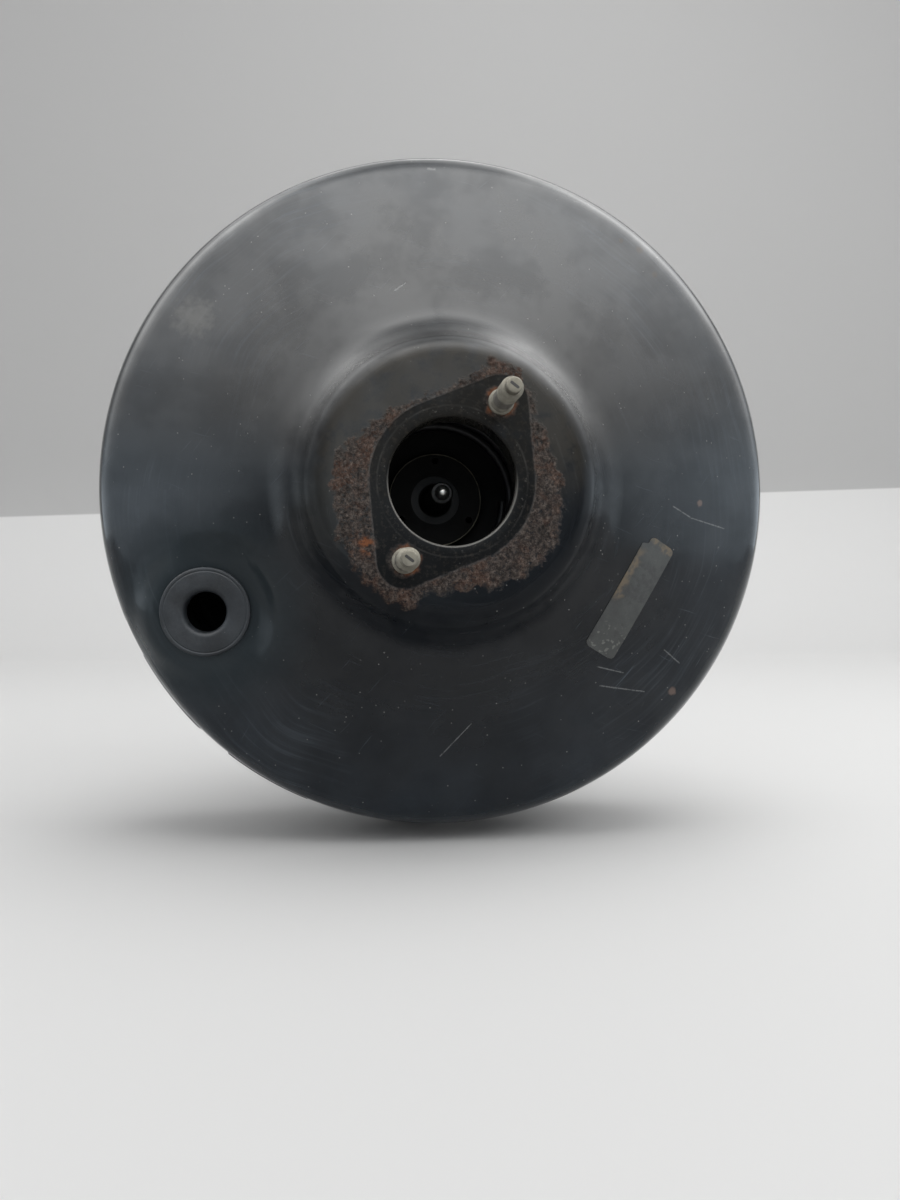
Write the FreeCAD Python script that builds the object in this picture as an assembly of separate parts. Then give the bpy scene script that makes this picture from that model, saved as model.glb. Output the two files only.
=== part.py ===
# Vacuum brake booster, single diaphragm, built at rest as separate pieces.
# Frame: the booster axis is Y. The master cylinder side faces -Y, the pedal side faces +Y,
# +Z is up and +X is to the right when the master cylinder side is looked at.
# y = 0 is the face that sits on the bulkhead. Millimetres throughout.
import FreeCAD, Part
import math
import os

V = FreeCAD.Vector

# Housing, driving sizes
RIM_RADIUS = 135.0
FLANGE_WIDTH = 6.4
SHELL_WALL = 2.0
HUB_FACE_Y = -112.0
FLANGE_DEPTH = 68.0
OPENING_RADIUS = 23.2
OPENING_LIP = 12.0
OPENING_ROUND = 3.0
HUB_DRAFT = 5.9
HUB_ROUND = 8.0
HUB_FOOT_RADIUS = 57.4
HUB_FOOT_DEPTH = 13.0
HUB_FOOT_ROUND = 19.0
CONE_SLOPE = 17.0
SHOULDER_ROUND = 12.0
LUG_COUNT = 16
LUG_GAP_ANGLE = 5.5
LUG_GAP_FIRST = -110.0
LUG_REACH = 6.9
FLANGE_ROUND = 2.5

# Pieces held in the crimped joint
BEAD_THICKNESS = 5.0
JOINT_STEP = 2.5
BEAD_INSET = 1.0

# Rear shell
REAR_SKIRT_INSET = 4.0
REAR_SHOULDER_DEPTH = 6.0
REAR_SHOULDER_ROUND = 12.0
REAR_FLAT_RADIUS = 66.0
REAR_FLAT_ROUND = 8.0
REAR_STEP = 3.0
NECK_RADIUS = 28.0
NECK_LENGTH = 27.0
NECK_LIP_RADIUS = 24.2
NECK_ROUND = 2.0

# Studs, M8
STUD_RADIUS = 4.0
MASTER_STUD_PITCH = 67.0
MASTER_STUD_ANGLE = 58.8
MASTER_STUD_LENGTH = 29.0
MASTER_COLLAR_RADIUS = 4.7
MASTER_COLLAR_HEIGHT = 2.0
MASTER_DOG_RADIUS = 2.8
MASTER_DOG_LENGTH = 4.0
MASTER_HEAD_RADIUS = 7.0
MASTER_HEAD_THICKNESS = 2.5
BULKHEAD_STUD_X = 80.0
BULKHEAD_STUD_Z = 60.0
BULKHEAD_STUD_LENGTH = 24.0
BULKHEAD_HEAD_RADIUS = 7.5
BULKHEAD_HEAD_THICKNESS = 3.5
BULKHEAD_SHANK_RADIUS = 4.4
STUD_CHAMFER = 0.8

# Reinforcement plates
FRONT_PLATE_THICKNESS = 5.0
FRONT_PLATE_EASE = 7.0
FRONT_PLATE_INNER = 27.0
REAR_PLATE_THICKNESS = 3.0
REAR_PLATE_OUTER = 60.0
REAR_PLATE_INNER = 24.0

# Check valve grommet
GROMMET_INSET = 43.5
GROMMET_Z = -47.5
GROMMET_RADIUS = 17.0
GROMMET_HEIGHT = 1.8
GROMMET_NECK_RADIUS = 11.5
GROMMET_TAIL_RADIUS = 14.5
GROMMET_TAIL_THICKNESS = 3.0
GROMMET_HOLE_RADIUS = 7.7
GROMMET_ROUND = 0.8
PAD_MARGIN = 2.0
PAD_FLARE = 7.0

# Label strip
LABEL_X = 72.2
LABEL_Z = -42.0
LABEL_LENGTH = 50.0
LABEL_WIDTH = 13.9
LABEL_CORNER = 2.0
LABEL_THICKNESS = 0.25

# Piston
PISTON_TRAVEL = 32.0
TUBE_RADIUS = 23.0
TUBE_END_Y = 56.0
NOSE_RADIUS = 20.5
NOSE_DEPTH = 74.0
NOSE_LENGTH = 8.0
NOSE_BORE_DEPTH = 13.0
NOSE_BORE = 15.5
REACTION_THICKNESS = 8.0
PLATE_WALL = 1.2
PLATE_CLEARANCE = 14.0
PLATE_FLAT_Y = -14.0
PLATE_STEP_IN = 45.0
PLATE_STEP_OUT = 56.0
PLATE_RIM = 10.0
BODY_SHOULDER_RADIUS = 30.0
DIAPHRAGM_WALL = 1.8
DIAPHRAGM_BEAD_RADIUS = 26.0
DIAPHRAGM_BEAD_DEPTH = 4.5
LOOP_CLEARANCE = 2.8
LOOP_DEPTH = 3.0
LOOP_LEG = 6.5
DIAPHRAGM_NECK = 2.6
CHAMBER_BORE = 19.0
SEAT_Y = 2.0
SEAT_INNER = 11.5
SEAT_OUTER = 14.0
VACUUM_PORT_RADIUS = 1.5
VACUUM_PORT_COUNT = 3

# Valve inside the piston
RUNNING_GAP = 0.05
PLUNGER_TRAVEL = 2.0
POPPET_TRAVEL = 0.95
PLUNGER_BORE = 6.5
PLUNGER_FLANGE_RADIUS = 8.5
KEY_THICKNESS = 2.4
KEY_HALF_WIDTH = 5.5
KEY_REACH = 25.4
BALL_Y = -0.6
BALL_RADIUS = 4.0
POPPET_INNER = 6.0
POPPET_OUTER = 15.5
POPPET_FACE = 2.5
POPPET_WASHER = 0.8
RETAINER_Y = 15.0
RETAINER_WALL = 1.2
RETAINER_SKIRT = 8.0
RETAINER_HOLE = 10.0

# Rods
INPUT_NECK_RADIUS = 2.8
INPUT_ROD_RADIUS = 4.0
ROD_SPRING_SEAT_Y = 34.0
ROD_COLLAR_RADIUS = 6.0
THREAD_RADIUS = 5.0
THREAD_START_Y = 62.0
OUTPUT_ROD_RADIUS = 4.6
OUTPUT_TIP_DEPTH = 37.2
OUTPUT_BALL_RADIUS = 3.0
OUTPUT_TIP_LENGTH = 5.3
OUTPUT_SCREW_RADIUS = 2.4
OUTPUT_SOCKET_DEPTH = 10.0
PUSHROD_RETAINER_HOLE = 10.6

# Filter, boot, clevis
FILTER_Y = 38.0
FILTER_LENGTH = 12.0
FILTER_HOLE = 8.6
FILTER_CAP_THICKNESS = 3.0
BOOT_WALL = 1.4
BOOT_COLLAR = 9.0
BOOT_FOLDS = 4
BOOT_VALLEY = 27.0
BOOT_PEAK = 34.0
BOOT_FOLD_END = 59.0
BOOT_GRIP_Y = 80.0
BOOT_GRIP = 6.0
NUT_Y = 96.0
NUT_THICKNESS = 7.0
NUT_ACROSS = 17.0
CLEVIS_WIDTH = 24.0
CLEVIS_SLOT = 16.0
CLEVIS_HEIGHT = 20.0
CLEVIS_BLOCK = 14.0
CLEVIS_PIN_Y = 138.0
CLEVIS_PIN_RADIUS = 5.05

# Springs, wire radius and coil count
RETURN_WIRE = 2.1
RETURN_FRONT_RADIUS = 40.0
RETURN_REAR_RADIUS = 31.0
RETURN_TURNS = 6.0
POPPET_WIRE = 0.6
POPPET_SPRING_RADIUS = 11.2
POPPET_TURNS = 3.0
INPUT_WIRE = 0.9
INPUT_SPRING_RADIUS = 12.0
INPUT_TURNS = 4.0
COIL_STEPS = 12
WIRE_SIDES = 6


# Building helpers
def corner(before, point, after, radius):
    """Arc points that round one corner of an outline, or the sharp point."""
    if radius <= 0:
        return None
    a = (before - point).normalize()
    b = (after - point).normalize()
    half = math.acos(max(-1.0, min(1.0, a.dot(b)))) / 2
    reach = radius / math.tan(half)
    middle = (a + b).normalize()
    centre = point + middle * (radius / math.sin(half))
    return point + a * reach, centre - middle * radius, point + b * reach


def outline(points, closed):
    """Edges through (radius, y, round) points in the XY plane."""
    flat = [V(p[0], p[1], 0) for p in points]
    rounds = [p[2] if len(p) > 2 else 0.0 for p in points]
    count = len(flat)
    arcs = []
    for i in range(count):
        inner = closed or 0 < i < count - 1
        arcs.append(corner(flat[i - 1], flat[i], flat[(i + 1) % count], rounds[i]) if inner else None)
    edges = []
    for i in range(count if closed else count - 1):
        j = (i + 1) % count
        start = arcs[i][2] if arcs[i] else flat[i]
        end = arcs[j][0] if arcs[j] else flat[j]
        if (end - start).Length > 1e-6:
            edges.append(Part.makeLine(start, end))
        if arcs[j]:
            edges.append(Part.Arc(*arcs[j]).toShape())
    if closed and arcs[0]:
        edges.append(edges.pop())
    return edges


def turned(points):
    """Solid of revolution about Y from a closed (radius, y, round) outline."""
    face = Part.Face(Part.Wire(Part.__sortEdges__(outline(points, True))))
    return face.revolve(V(0, 0, 0), V(0, 1, 0), 360)


def offset_points(points, distance):
    """The same open outline moved sideways, corners kept concentric."""
    flat = [V(p[0], p[1], 0) for p in points]
    lines = []
    for a, b in zip(flat, flat[1:]):
        along = (b - a).normalize()
        side = V(along.y, -along.x, 0) * distance
        lines.append((a + side, along))
    moved = [(lines[0][0].x, lines[0][0].y, 0.0)]
    for i in range(1, len(flat) - 1):
        (p, d), (q, e) = lines[i - 1], lines[i]
        cross = d.x * e.y - d.y * e.x
        t = ((q.x - p.x) * e.y - (q.y - p.y) * e.x) / cross
        turn = -1.0 if cross * distance < 0 else 1.0
        given = points[i][2] if len(points[i]) > 2 else 0.0
        radius = given + turn * abs(distance) if given > 0 else 0.0
        moved.append((p.x + d.x * t, p.y + d.y * t, max(radius, 0.0)))
    last = flat[-1] + V(lines[-1][1].y, -lines[-1][1].x, 0) * distance
    moved.append((last.x, last.y, 0.0))
    return moved


def sheet(points, wall):
    """Turned sheet metal: the open outline is one face, wall is the thickness beside it."""
    other = offset_points(points, wall)
    edges = outline(points, False) + outline(other, False)
    for a, b in ((points[0], other[0]), (points[-1], other[-1])):
        edges.append(Part.makeLine(V(a[0], a[1], 0), V(b[0], b[1], 0)))
    face = Part.Face(Part.Wire(Part.__sortEdges__(edges)))
    return face.revolve(V(0, 0, 0), V(0, 1, 0), 360)


def rod(radius, y0, y1, x=0.0, z=0.0):
    return Part.makeCylinder(radius, y1 - y0, V(x, y0, z), V(0, 1, 0))


def ring(inner, outer, y0, y1):
    return rod(outer, y0, y1).cut(rod(inner, y0 - 1, y1 + 1))


def block(x0, x1, y0, y1, z0, z1):
    return Part.makeBox(x1 - x0, y1 - y0, z1 - z0, V(x0, y0, z0))


def hexagon(across, y0, y1):
    reach = across / math.sqrt(3)
    points = [V(reach * math.sin(math.radians(a)), y0, reach * math.cos(math.radians(a)))
              for a in range(0, 361, 60)]
    return Part.Face(Part.makePolygon(points)).extrude(V(0, y1 - y0, 0))


def coil(radius0, radius1, wire, turns, y0, y1):
    """Spring between two flat seats: a faceted wire that winds from radius0 to radius1."""
    steps = int(turns * COIL_STEPS)
    low = y0 + wire
    rise = y1 - y0 - 2 * wire
    rings = []
    for i in range(steps + 1):
        share = i / steps
        turn = 2 * math.pi * turns * share
        radius = radius0 + (radius1 - radius0) * share
        out = V(math.cos(turn), 0, -math.sin(turn))
        at = out * radius + V(0, low + rise * share, 0)
        corners = [2 * math.pi * (k + 0.5) / WIRE_SIDES for k in range(WIRE_SIDES)]
        rings.append([at + out * (wire * math.cos(c)) + V(0, wire * math.sin(c), 0) for c in corners])
    faces = [Part.Face(Part.makePolygon(rings[0] + rings[0][:1])), Part.Face(Part.makePolygon(rings[-1] + rings[-1][:1]))]
    for first, second in zip(rings, rings[1:]):
        for k in range(WIRE_SIDES):
            j = (k + 1) % WIRE_SIDES
            faces.append(Part.Face(Part.makePolygon([first[k], first[j], second[j], first[k]])))
            faces.append(Part.Face(Part.makePolygon([first[k], second[j], second[k], first[k]])))
    body = Part.Solid(Part.Shell(faces))
    return body if body.Volume > 0 else body.reversed()


# Places worked out from the driving sizes
HUB_CORNER_RADIUS = HUB_FOOT_RADIUS - HUB_DRAFT
FRONT_PLATE_OUTER = HUB_CORNER_RADIUS - FRONT_PLATE_EASE
FLANGE_RADIUS = RIM_RADIUS + FLANGE_WIDTH
JOINT_RADIUS = RIM_RADIUS + JOINT_STEP
BEAD_INNER_RADIUS = RIM_RADIUS - BEAD_INSET
REAR_SKIRT_RADIUS = RIM_RADIUS - REAR_SKIRT_INSET
GROMMET_X = GROMMET_INSET - RIM_RADIUS
NOSE_FRONT_Y = HUB_FACE_Y + NOSE_DEPTH
PLATE_FRONT_Y = NOSE_FRONT_Y + NOSE_LENGTH
PLATE_RADIUS = REAR_SKIRT_RADIUS - PLATE_CLEARANCE
DIAPHRAGM_LOOP_RADIUS = REAR_SKIRT_RADIUS - SHELL_WALL - LOOP_CLEARANCE
OUTPUT_TIP_Y = HUB_FACE_Y + OUTPUT_TIP_DEPTH
OUTPUT_SLEEVE_Y = OUTPUT_TIP_Y + OUTPUT_TIP_LENGTH
hub_inner_y = HUB_FACE_Y + SHELL_WALL
flange_y = HUB_FACE_Y + FLANGE_DEPTH
joint_front_y = flange_y + SHELL_WALL
rear_flange_y = joint_front_y + BEAD_THICKNESS
lug_inner_y = rear_flange_y + SHELL_WALL
lug_outer_y = lug_inner_y + SHELL_WALL
cone_rise = math.tan(math.radians(CONE_SLOPE))
master_studs = [(s * MASTER_STUD_PITCH / 2 * math.cos(math.radians(MASTER_STUD_ANGLE)),
                 s * MASTER_STUD_PITCH / 2 * math.sin(math.radians(MASTER_STUD_ANGLE))) for s in (1, -1)]
bulkhead_studs = [(sx * BULKHEAD_STUD_X / 2, sz * BULKHEAD_STUD_Z / 2) for sx in (1, -1) for sz in (1, -1)]
plate_rear_y = PLATE_FRONT_Y + PLATE_WALL
flat_rear_y = PLATE_FLAT_Y + PLATE_WALL
reaction_rear_y = NOSE_FRONT_Y + NOSE_BORE_DEPTH
reaction_front_y = reaction_rear_y - REACTION_THICKNESS
plunger_front_y = reaction_rear_y + PLUNGER_TRAVEL + RUNNING_GAP
key_rear_y = -SHELL_WALL - REAR_PLATE_THICKNESS - RUNNING_GAP
key_front_y = key_rear_y - KEY_THICKNESS
poppet_y = SEAT_Y + POPPET_TRAVEL + RUNNING_GAP
poppet_back_y = poppet_y + POPPET_FACE
washer_back_y = poppet_back_y + POPPET_WASHER
filter_end_y = FILTER_Y + FILTER_LENGTH
clevis_y = NUT_Y + NUT_THICKNESS


def cone_y(radius):
    """Outer face of the front cone at a radius."""
    return HUB_FACE_Y + HUB_FOOT_DEPTH + (radius - HUB_FOOT_RADIUS) * cone_rise


pad_y = cone_y(math.hypot(GROMMET_X, GROMMET_Z))
pad_radius = GROMMET_RADIUS + PAD_MARGIN


def front_outline():
    return [(OPENING_RADIUS, HUB_FACE_Y + OPENING_LIP),
            (OPENING_RADIUS, HUB_FACE_Y, OPENING_ROUND),
            (HUB_CORNER_RADIUS, HUB_FACE_Y, HUB_ROUND),
            (HUB_FOOT_RADIUS, HUB_FACE_Y + HUB_FOOT_DEPTH, HUB_FOOT_ROUND),
            (RIM_RADIUS, cone_y(RIM_RADIUS), SHOULDER_ROUND),
            (RIM_RADIUS, flange_y, 0.6),
            (FLANGE_RADIUS, flange_y, FLANGE_ROUND),
            (FLANGE_RADIUS, lug_outer_y, FLANGE_ROUND),
            (FLANGE_RADIUS - LUG_REACH, lug_outer_y)]


def frustum(radius, flare, y, length):
    """Round pocket or boss tool that widens from the pad face along Y."""
    tool = Part.makeCone(radius, radius + flare, abs(length), V(GROMMET_X, y, GROMMET_Z),
                         V(0, math.copysign(1, length), 0))
    return tool


def front_shell():
    shell = sheet(front_outline(), -SHELL_WALL)
    cone_line = [(r, cone_y(r)) for r in (HUB_FOOT_RADIUS + 8, RIM_RADIUS - 10)]
    reach = 2 * pad_radius
    above = turned([(cone_line[0][0], pad_y - reach), (cone_line[1][0], pad_y - reach), cone_line[1], cone_line[0]])
    below = turned([cone_line[0], cone_line[1], (cone_line[1][0], pad_y + reach), (cone_line[0][0], pad_y + reach)])
    inner_above = above.copy()
    inner_below = below.copy()
    slant = SHELL_WALL / math.cos(math.radians(CONE_SLOPE))
    inner_above.translate(V(0, slant, 0))
    inner_below.translate(V(0, slant, 0))
    pocket = frustum(pad_radius, PAD_FLARE, pad_y, -PAD_FLARE)
    pocket_back = frustum(pad_radius + SHELL_WALL, PAD_FLARE, pad_y + SHELL_WALL, -PAD_FLARE)
    boss = frustum(pad_radius, PAD_FLARE, pad_y, PAD_FLARE)
    boss_back = frustum(pad_radius - SHELL_WALL, PAD_FLARE, pad_y + SHELL_WALL, PAD_FLARE)
    metal = pocket_back.common(inner_below).fuse(boss.common(above))
    shell = shell.fuse(metal)
    shell = shell.cut(pocket.common(below))
    shell = shell.cut(boss_back.common(inner_above))
    shell = shell.cut(rod(GROMMET_NECK_RADIUS, pad_y - 9, pad_y + 9, GROMMET_X, GROMMET_Z))
    for x, z in master_studs:
        shell = shell.cut(rod(MASTER_COLLAR_RADIUS, HUB_FACE_Y - 1, hub_inner_y + 1, x, z))
    reach = 2 * FLANGE_RADIUS
    for k in range(LUG_COUNT):
        angle = LUG_GAP_FIRST + 360.0 / LUG_COUNT * k
        notch = ring(JOINT_RADIUS + 0.1, reach, flange_y - 1, lug_outer_y + 1)
        half = math.radians(LUG_GAP_ANGLE / 2)
        wedge = Part.makePolygon([V(0, 0, 0), V(reach, 0, -reach * math.tan(half)),
                                  V(reach, 0, reach * math.tan(half)), V(0, 0, 0)])
        prism = Part.Face(wedge).extrude(V(0, -2 * HUB_FACE_Y, 0))
        prism.translate(V(0, HUB_FACE_Y, 0))
        prism.rotate(V(0, 0, 0), V(0, 1, 0), -angle)
        shell = shell.cut(notch.common(prism))
        bent = ring(FLANGE_RADIUS - LUG_REACH - 1, JOINT_RADIUS + 0.1, lug_inner_y, lug_outer_y + 1)
        shell = shell.cut(bent.common(prism))
    return shell.removeSplitter()


def front_plate():
    plate = ring(FRONT_PLATE_INNER, FRONT_PLATE_OUTER, hub_inner_y, hub_inner_y + FRONT_PLATE_THICKNESS)
    back = hub_inner_y + FRONT_PLATE_THICKNESS
    for x, z in master_studs:
        plate = plate.cut(rod(MASTER_COLLAR_RADIUS, hub_inner_y - 1, back + 1, x, z))
        plate = plate.cut(rod(MASTER_HEAD_RADIUS, back - MASTER_HEAD_THICKNESS, back + 1, x, z))
    return plate


def master_cylinder_studs():
    back = hub_inner_y + FRONT_PLATE_THICKNESS
    tip = HUB_FACE_Y - MASTER_STUD_LENGTH
    collar = HUB_FACE_Y - MASTER_COLLAR_HEIGHT
    dog = tip + MASTER_DOG_LENGTH
    solids = []
    for x, z in master_studs:
        piece = turned([(0, back), (MASTER_HEAD_RADIUS, back),
                        (MASTER_HEAD_RADIUS, back - MASTER_HEAD_THICKNESS),
                        (MASTER_COLLAR_RADIUS, back - MASTER_HEAD_THICKNESS),
                        (MASTER_COLLAR_RADIUS, collar + 0.4), (MASTER_COLLAR_RADIUS - 0.4, collar),
                        (STUD_RADIUS, collar), (STUD_RADIUS, dog + 0.7), (STUD_RADIUS - 0.9, dog),
                        (MASTER_DOG_RADIUS, dog), (MASTER_DOG_RADIUS, tip + 0.5),
                        (MASTER_DOG_RADIUS - 0.5, tip), (0, tip)])
        piece.translate(V(x, 0, z))
        solids.append(piece)
    return Part.makeCompound(solids)


def grommet():
    front = pad_y - GROMMET_HEIGHT
    sheet_back = pad_y + SHELL_WALL
    tail = sheet_back + GROMMET_TAIL_THICKNESS
    piece = turned([(GROMMET_HOLE_RADIUS, front, GROMMET_ROUND), (GROMMET_RADIUS, front, GROMMET_ROUND),
                    (GROMMET_RADIUS, pad_y), (GROMMET_NECK_RADIUS, pad_y),
                    (GROMMET_NECK_RADIUS, sheet_back), (GROMMET_TAIL_RADIUS, sheet_back),
                    (GROMMET_NECK_RADIUS + 0.5, tail, GROMMET_ROUND), (GROMMET_HOLE_RADIUS, tail)])
    piece.translate(V(GROMMET_X, 0, GROMMET_Z))
    return piece


def label():
    skin = turned([(HUB_FOOT_RADIUS + 10, cone_y(HUB_FOOT_RADIUS + 10)),
                   (RIM_RADIUS - 11, cone_y(RIM_RADIUS - 11)),
                   (RIM_RADIUS - 11, cone_y(RIM_RADIUS - 11) - LABEL_THICKNESS),
                   (HUB_FOOT_RADIUS + 10, cone_y(HUB_FOOT_RADIUS + 10) - LABEL_THICKNESS)])
    half_l = LABEL_LENGTH / 2
    half_w = LABEL_WIDTH / 2
    edges = outline([(-half_w, -half_l, LABEL_CORNER), (half_w, -half_l, LABEL_CORNER),
                     (half_w, half_l, LABEL_CORNER), (-half_w, half_l, LABEL_CORNER)], True)
    blank = Part.Face(Part.Wire(Part.__sortEdges__(edges))).extrude(V(0, 0, -2 * HUB_FACE_Y))
    blank.rotate(V(0, 0, 0), V(1, 0, 0), 90)
    bearing = math.degrees(math.atan2(LABEL_Z, LABEL_X))
    blank.rotate(V(0, 0, 0), V(0, 1, 0), -bearing)
    blank.translate(V(LABEL_X, 0, LABEL_Z))
    return skin.common(blank)


def rear_shell():
    points = [(NECK_LIP_RADIUS, NECK_LENGTH), (NECK_RADIUS, NECK_LENGTH, 2.5),
              (NECK_RADIUS, 0, NECK_ROUND), (REAR_FLAT_RADIUS, 0, REAR_FLAT_ROUND),
              (REAR_FLAT_RADIUS + 5, -REAR_STEP, REAR_FLAT_ROUND),
              (REAR_SKIRT_RADIUS, -REAR_SHOULDER_DEPTH, REAR_SHOULDER_ROUND),
              (REAR_SKIRT_RADIUS, lug_inner_y, 0.6), (JOINT_RADIUS, lug_inner_y)]
    shell = sheet(points, SHELL_WALL)
    for x, z in bulkhead_studs:
        shell = shell.cut(rod(BULKHEAD_SHANK_RADIUS, -SHELL_WALL - 1, 1, x, z))
    return shell


def rear_plate():
    front = -SHELL_WALL - REAR_PLATE_THICKNESS
    plate = ring(REAR_PLATE_INNER, REAR_PLATE_OUTER, front, -SHELL_WALL)
    for x, z in bulkhead_studs:
        plate = plate.cut(rod(BULKHEAD_SHANK_RADIUS, front - 1, 1, x, z))
    relief = ring(REAR_PLATE_INNER - 1, NECK_RADIUS + 2 * NECK_ROUND, -SHELL_WALL - 0.5, 0)
    return plate.cut(relief)


def bulkhead_stud_set():
    seat = -SHELL_WALL - REAR_PLATE_THICKNESS
    solids = []
    for x, z in bulkhead_studs:
        piece = turned([(0, seat - BULKHEAD_HEAD_THICKNESS), (BULKHEAD_HEAD_RADIUS, seat - BULKHEAD_HEAD_THICKNESS),
                        (BULKHEAD_HEAD_RADIUS, seat), (BULKHEAD_SHANK_RADIUS, seat), (BULKHEAD_SHANK_RADIUS, 0),
                        (STUD_RADIUS, 0), (STUD_RADIUS, BULKHEAD_STUD_LENGTH - STUD_CHAMFER),
                        (STUD_RADIUS - STUD_CHAMFER, BULKHEAD_STUD_LENGTH), (0, BULKHEAD_STUD_LENGTH)])
        piece.translate(V(x, 0, z))
        solids.append(piece)
    return Part.makeCompound(solids)


def diaphragm():
    lie = flat_rear_y
    loop = DIAPHRAGM_LOOP_RADIUS
    neck = joint_front_y + DIAPHRAGM_NECK
    points = [(DIAPHRAGM_BEAD_RADIUS + 3, lie), (PLATE_RADIUS + 0.3, lie, 4.5),
              (PLATE_RADIUS + 0.3, lie - LOOP_LEG, 3.0), (loop, lie - LOOP_LEG - LOOP_DEPTH, 3.0), (loop, neck, 1.0),
              (JOINT_RADIUS, neck)]
    web = sheet(points, -DIAPHRAGM_WALL)
    bead = ring(BEAD_INNER_RADIUS, JOINT_RADIUS, joint_front_y, rear_flange_y)
    inner = ring(DIAPHRAGM_BEAD_RADIUS, DIAPHRAGM_BEAD_RADIUS + 4.0, lie - DIAPHRAGM_BEAD_DEPTH + DIAPHRAGM_WALL,
                 lie + DIAPHRAGM_WALL)
    return web.fuse([bead, inner]).removeSplitter()


def diaphragm_plate():
    points = [(NOSE_RADIUS, PLATE_FRONT_Y), (PLATE_STEP_IN, PLATE_FRONT_Y, 3.0),
              (PLATE_STEP_OUT, PLATE_FLAT_Y, 4.0), (PLATE_RADIUS - PLATE_WALL, PLATE_FLAT_Y, 3.0),
              (PLATE_RADIUS - PLATE_WALL, PLATE_FLAT_Y - PLATE_RIM)]
    return sheet(points, -PLATE_WALL)


def valve_body():
    bead_front = flat_rear_y - DIAPHRAGM_BEAD_DEPTH + DIAPHRAGM_WALL
    bead_rear = flat_rear_y + DIAPHRAGM_WALL
    body = turned([(0, NOSE_FRONT_Y), (NOSE_RADIUS, NOSE_FRONT_Y, 1.0), (NOSE_RADIUS, plate_rear_y),
                   (BODY_SHOULDER_RADIUS, plate_rear_y), (BODY_SHOULDER_RADIUS, bead_front),
                   (DIAPHRAGM_BEAD_RADIUS, bead_front), (DIAPHRAGM_BEAD_RADIUS, bead_rear),
                   (TUBE_RADIUS, bead_rear), (TUBE_RADIUS, TUBE_END_Y), (0, TUBE_END_Y)])
    body = body.cut(rod(NOSE_BORE, NOSE_FRONT_Y - 1, reaction_rear_y))
    body = body.cut(rod(PLUNGER_BORE, reaction_rear_y - 1, 1))
    body = body.cut(rod(SEAT_INNER, -10.0, SEAT_Y + 1))
    body = body.cut(ring(SEAT_OUTER, CHAMBER_BORE, 0, SEAT_Y))
    body = body.cut(rod(CHAMBER_BORE, SEAT_Y, TUBE_END_Y + 1))
    gap = RUNNING_GAP
    body = body.cut(block(-KEY_HALF_WIDTH - gap, KEY_HALF_WIDTH + gap, key_front_y - PLUNGER_TRAVEL - gap,
                          key_rear_y + gap, 0, TUBE_RADIUS + 5))
    for k in range(VACUUM_PORT_COUNT):
        angle = math.radians(30 + 360 / VACUUM_PORT_COUNT * k)
        at = (NOSE_BORE + CHAMBER_BORE) / 2
        body = body.cut(rod(VACUUM_PORT_RADIUS, NOSE_FRONT_Y - 1, 1, at * math.cos(angle), -at * math.sin(angle)))
    return body


def valve_plunger():
    radius = PLUNGER_BORE - RUNNING_GAP
    piece = turned([(0, plunger_front_y), (radius - 0.5, plunger_front_y), (radius, plunger_front_y + 0.5),
                    (radius, key_front_y), (3.6, key_front_y), (3.6, key_rear_y),
                    (PLUNGER_FLANGE_RADIUS, key_rear_y), (PLUNGER_FLANGE_RADIUS, poppet_y - RUNNING_GAP),
                    (0, poppet_y - RUNNING_GAP)])
    socket = BALL_RADIUS + RUNNING_GAP
    piece = piece.cut(Part.makeSphere(socket, V(0, BALL_Y, 0)))
    piece = piece.cut(rod(INPUT_NECK_RADIUS + 0.8, BALL_Y, poppet_y + 1))
    return piece


def plunger_key():
    plate = block(-KEY_HALF_WIDTH, KEY_HALF_WIDTH, key_front_y, key_rear_y, -3.6, KEY_REACH)
    slot = block(-3.6, 3.6, key_front_y - 1, key_rear_y + 1, -10, 0).fuse(rod(3.6, key_front_y - 1, key_rear_y + 1))
    return plate.cut(slot)


def poppet_valve():
    return turned([(POPPET_INNER, poppet_y), (POPPET_OUTER, poppet_y, 0.6), (POPPET_OUTER, poppet_back_y),
                   (POPPET_INNER, poppet_back_y)])


def poppet_bellows():
    """Thin rubber sleeve from the poppet to the bead under the retainer."""
    bead_y = RETAINER_Y - 2.0
    points = [(POPPET_OUTER - 1.0, poppet_back_y), (POPPET_OUTER - 1.0, poppet_back_y + 3.5, 1.5),
              (CHAMBER_BORE - 1.2, poppet_back_y + 5.0, 1.0), (CHAMBER_BORE - 1.2, bead_y + 1)]
    sleeve = sheet(points, -0.9)
    return sleeve.fuse(ring(CHAMBER_BORE - 3.0, CHAMBER_BORE, bead_y, RETAINER_Y)).removeSplitter()


def poppet_retainer():
    return sheet([(RETAINER_HOLE, RETAINER_Y), (CHAMBER_BORE, RETAINER_Y, 1.6),
                  (CHAMBER_BORE, RETAINER_Y + RETAINER_SKIRT)], -RETAINER_WALL)


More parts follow.
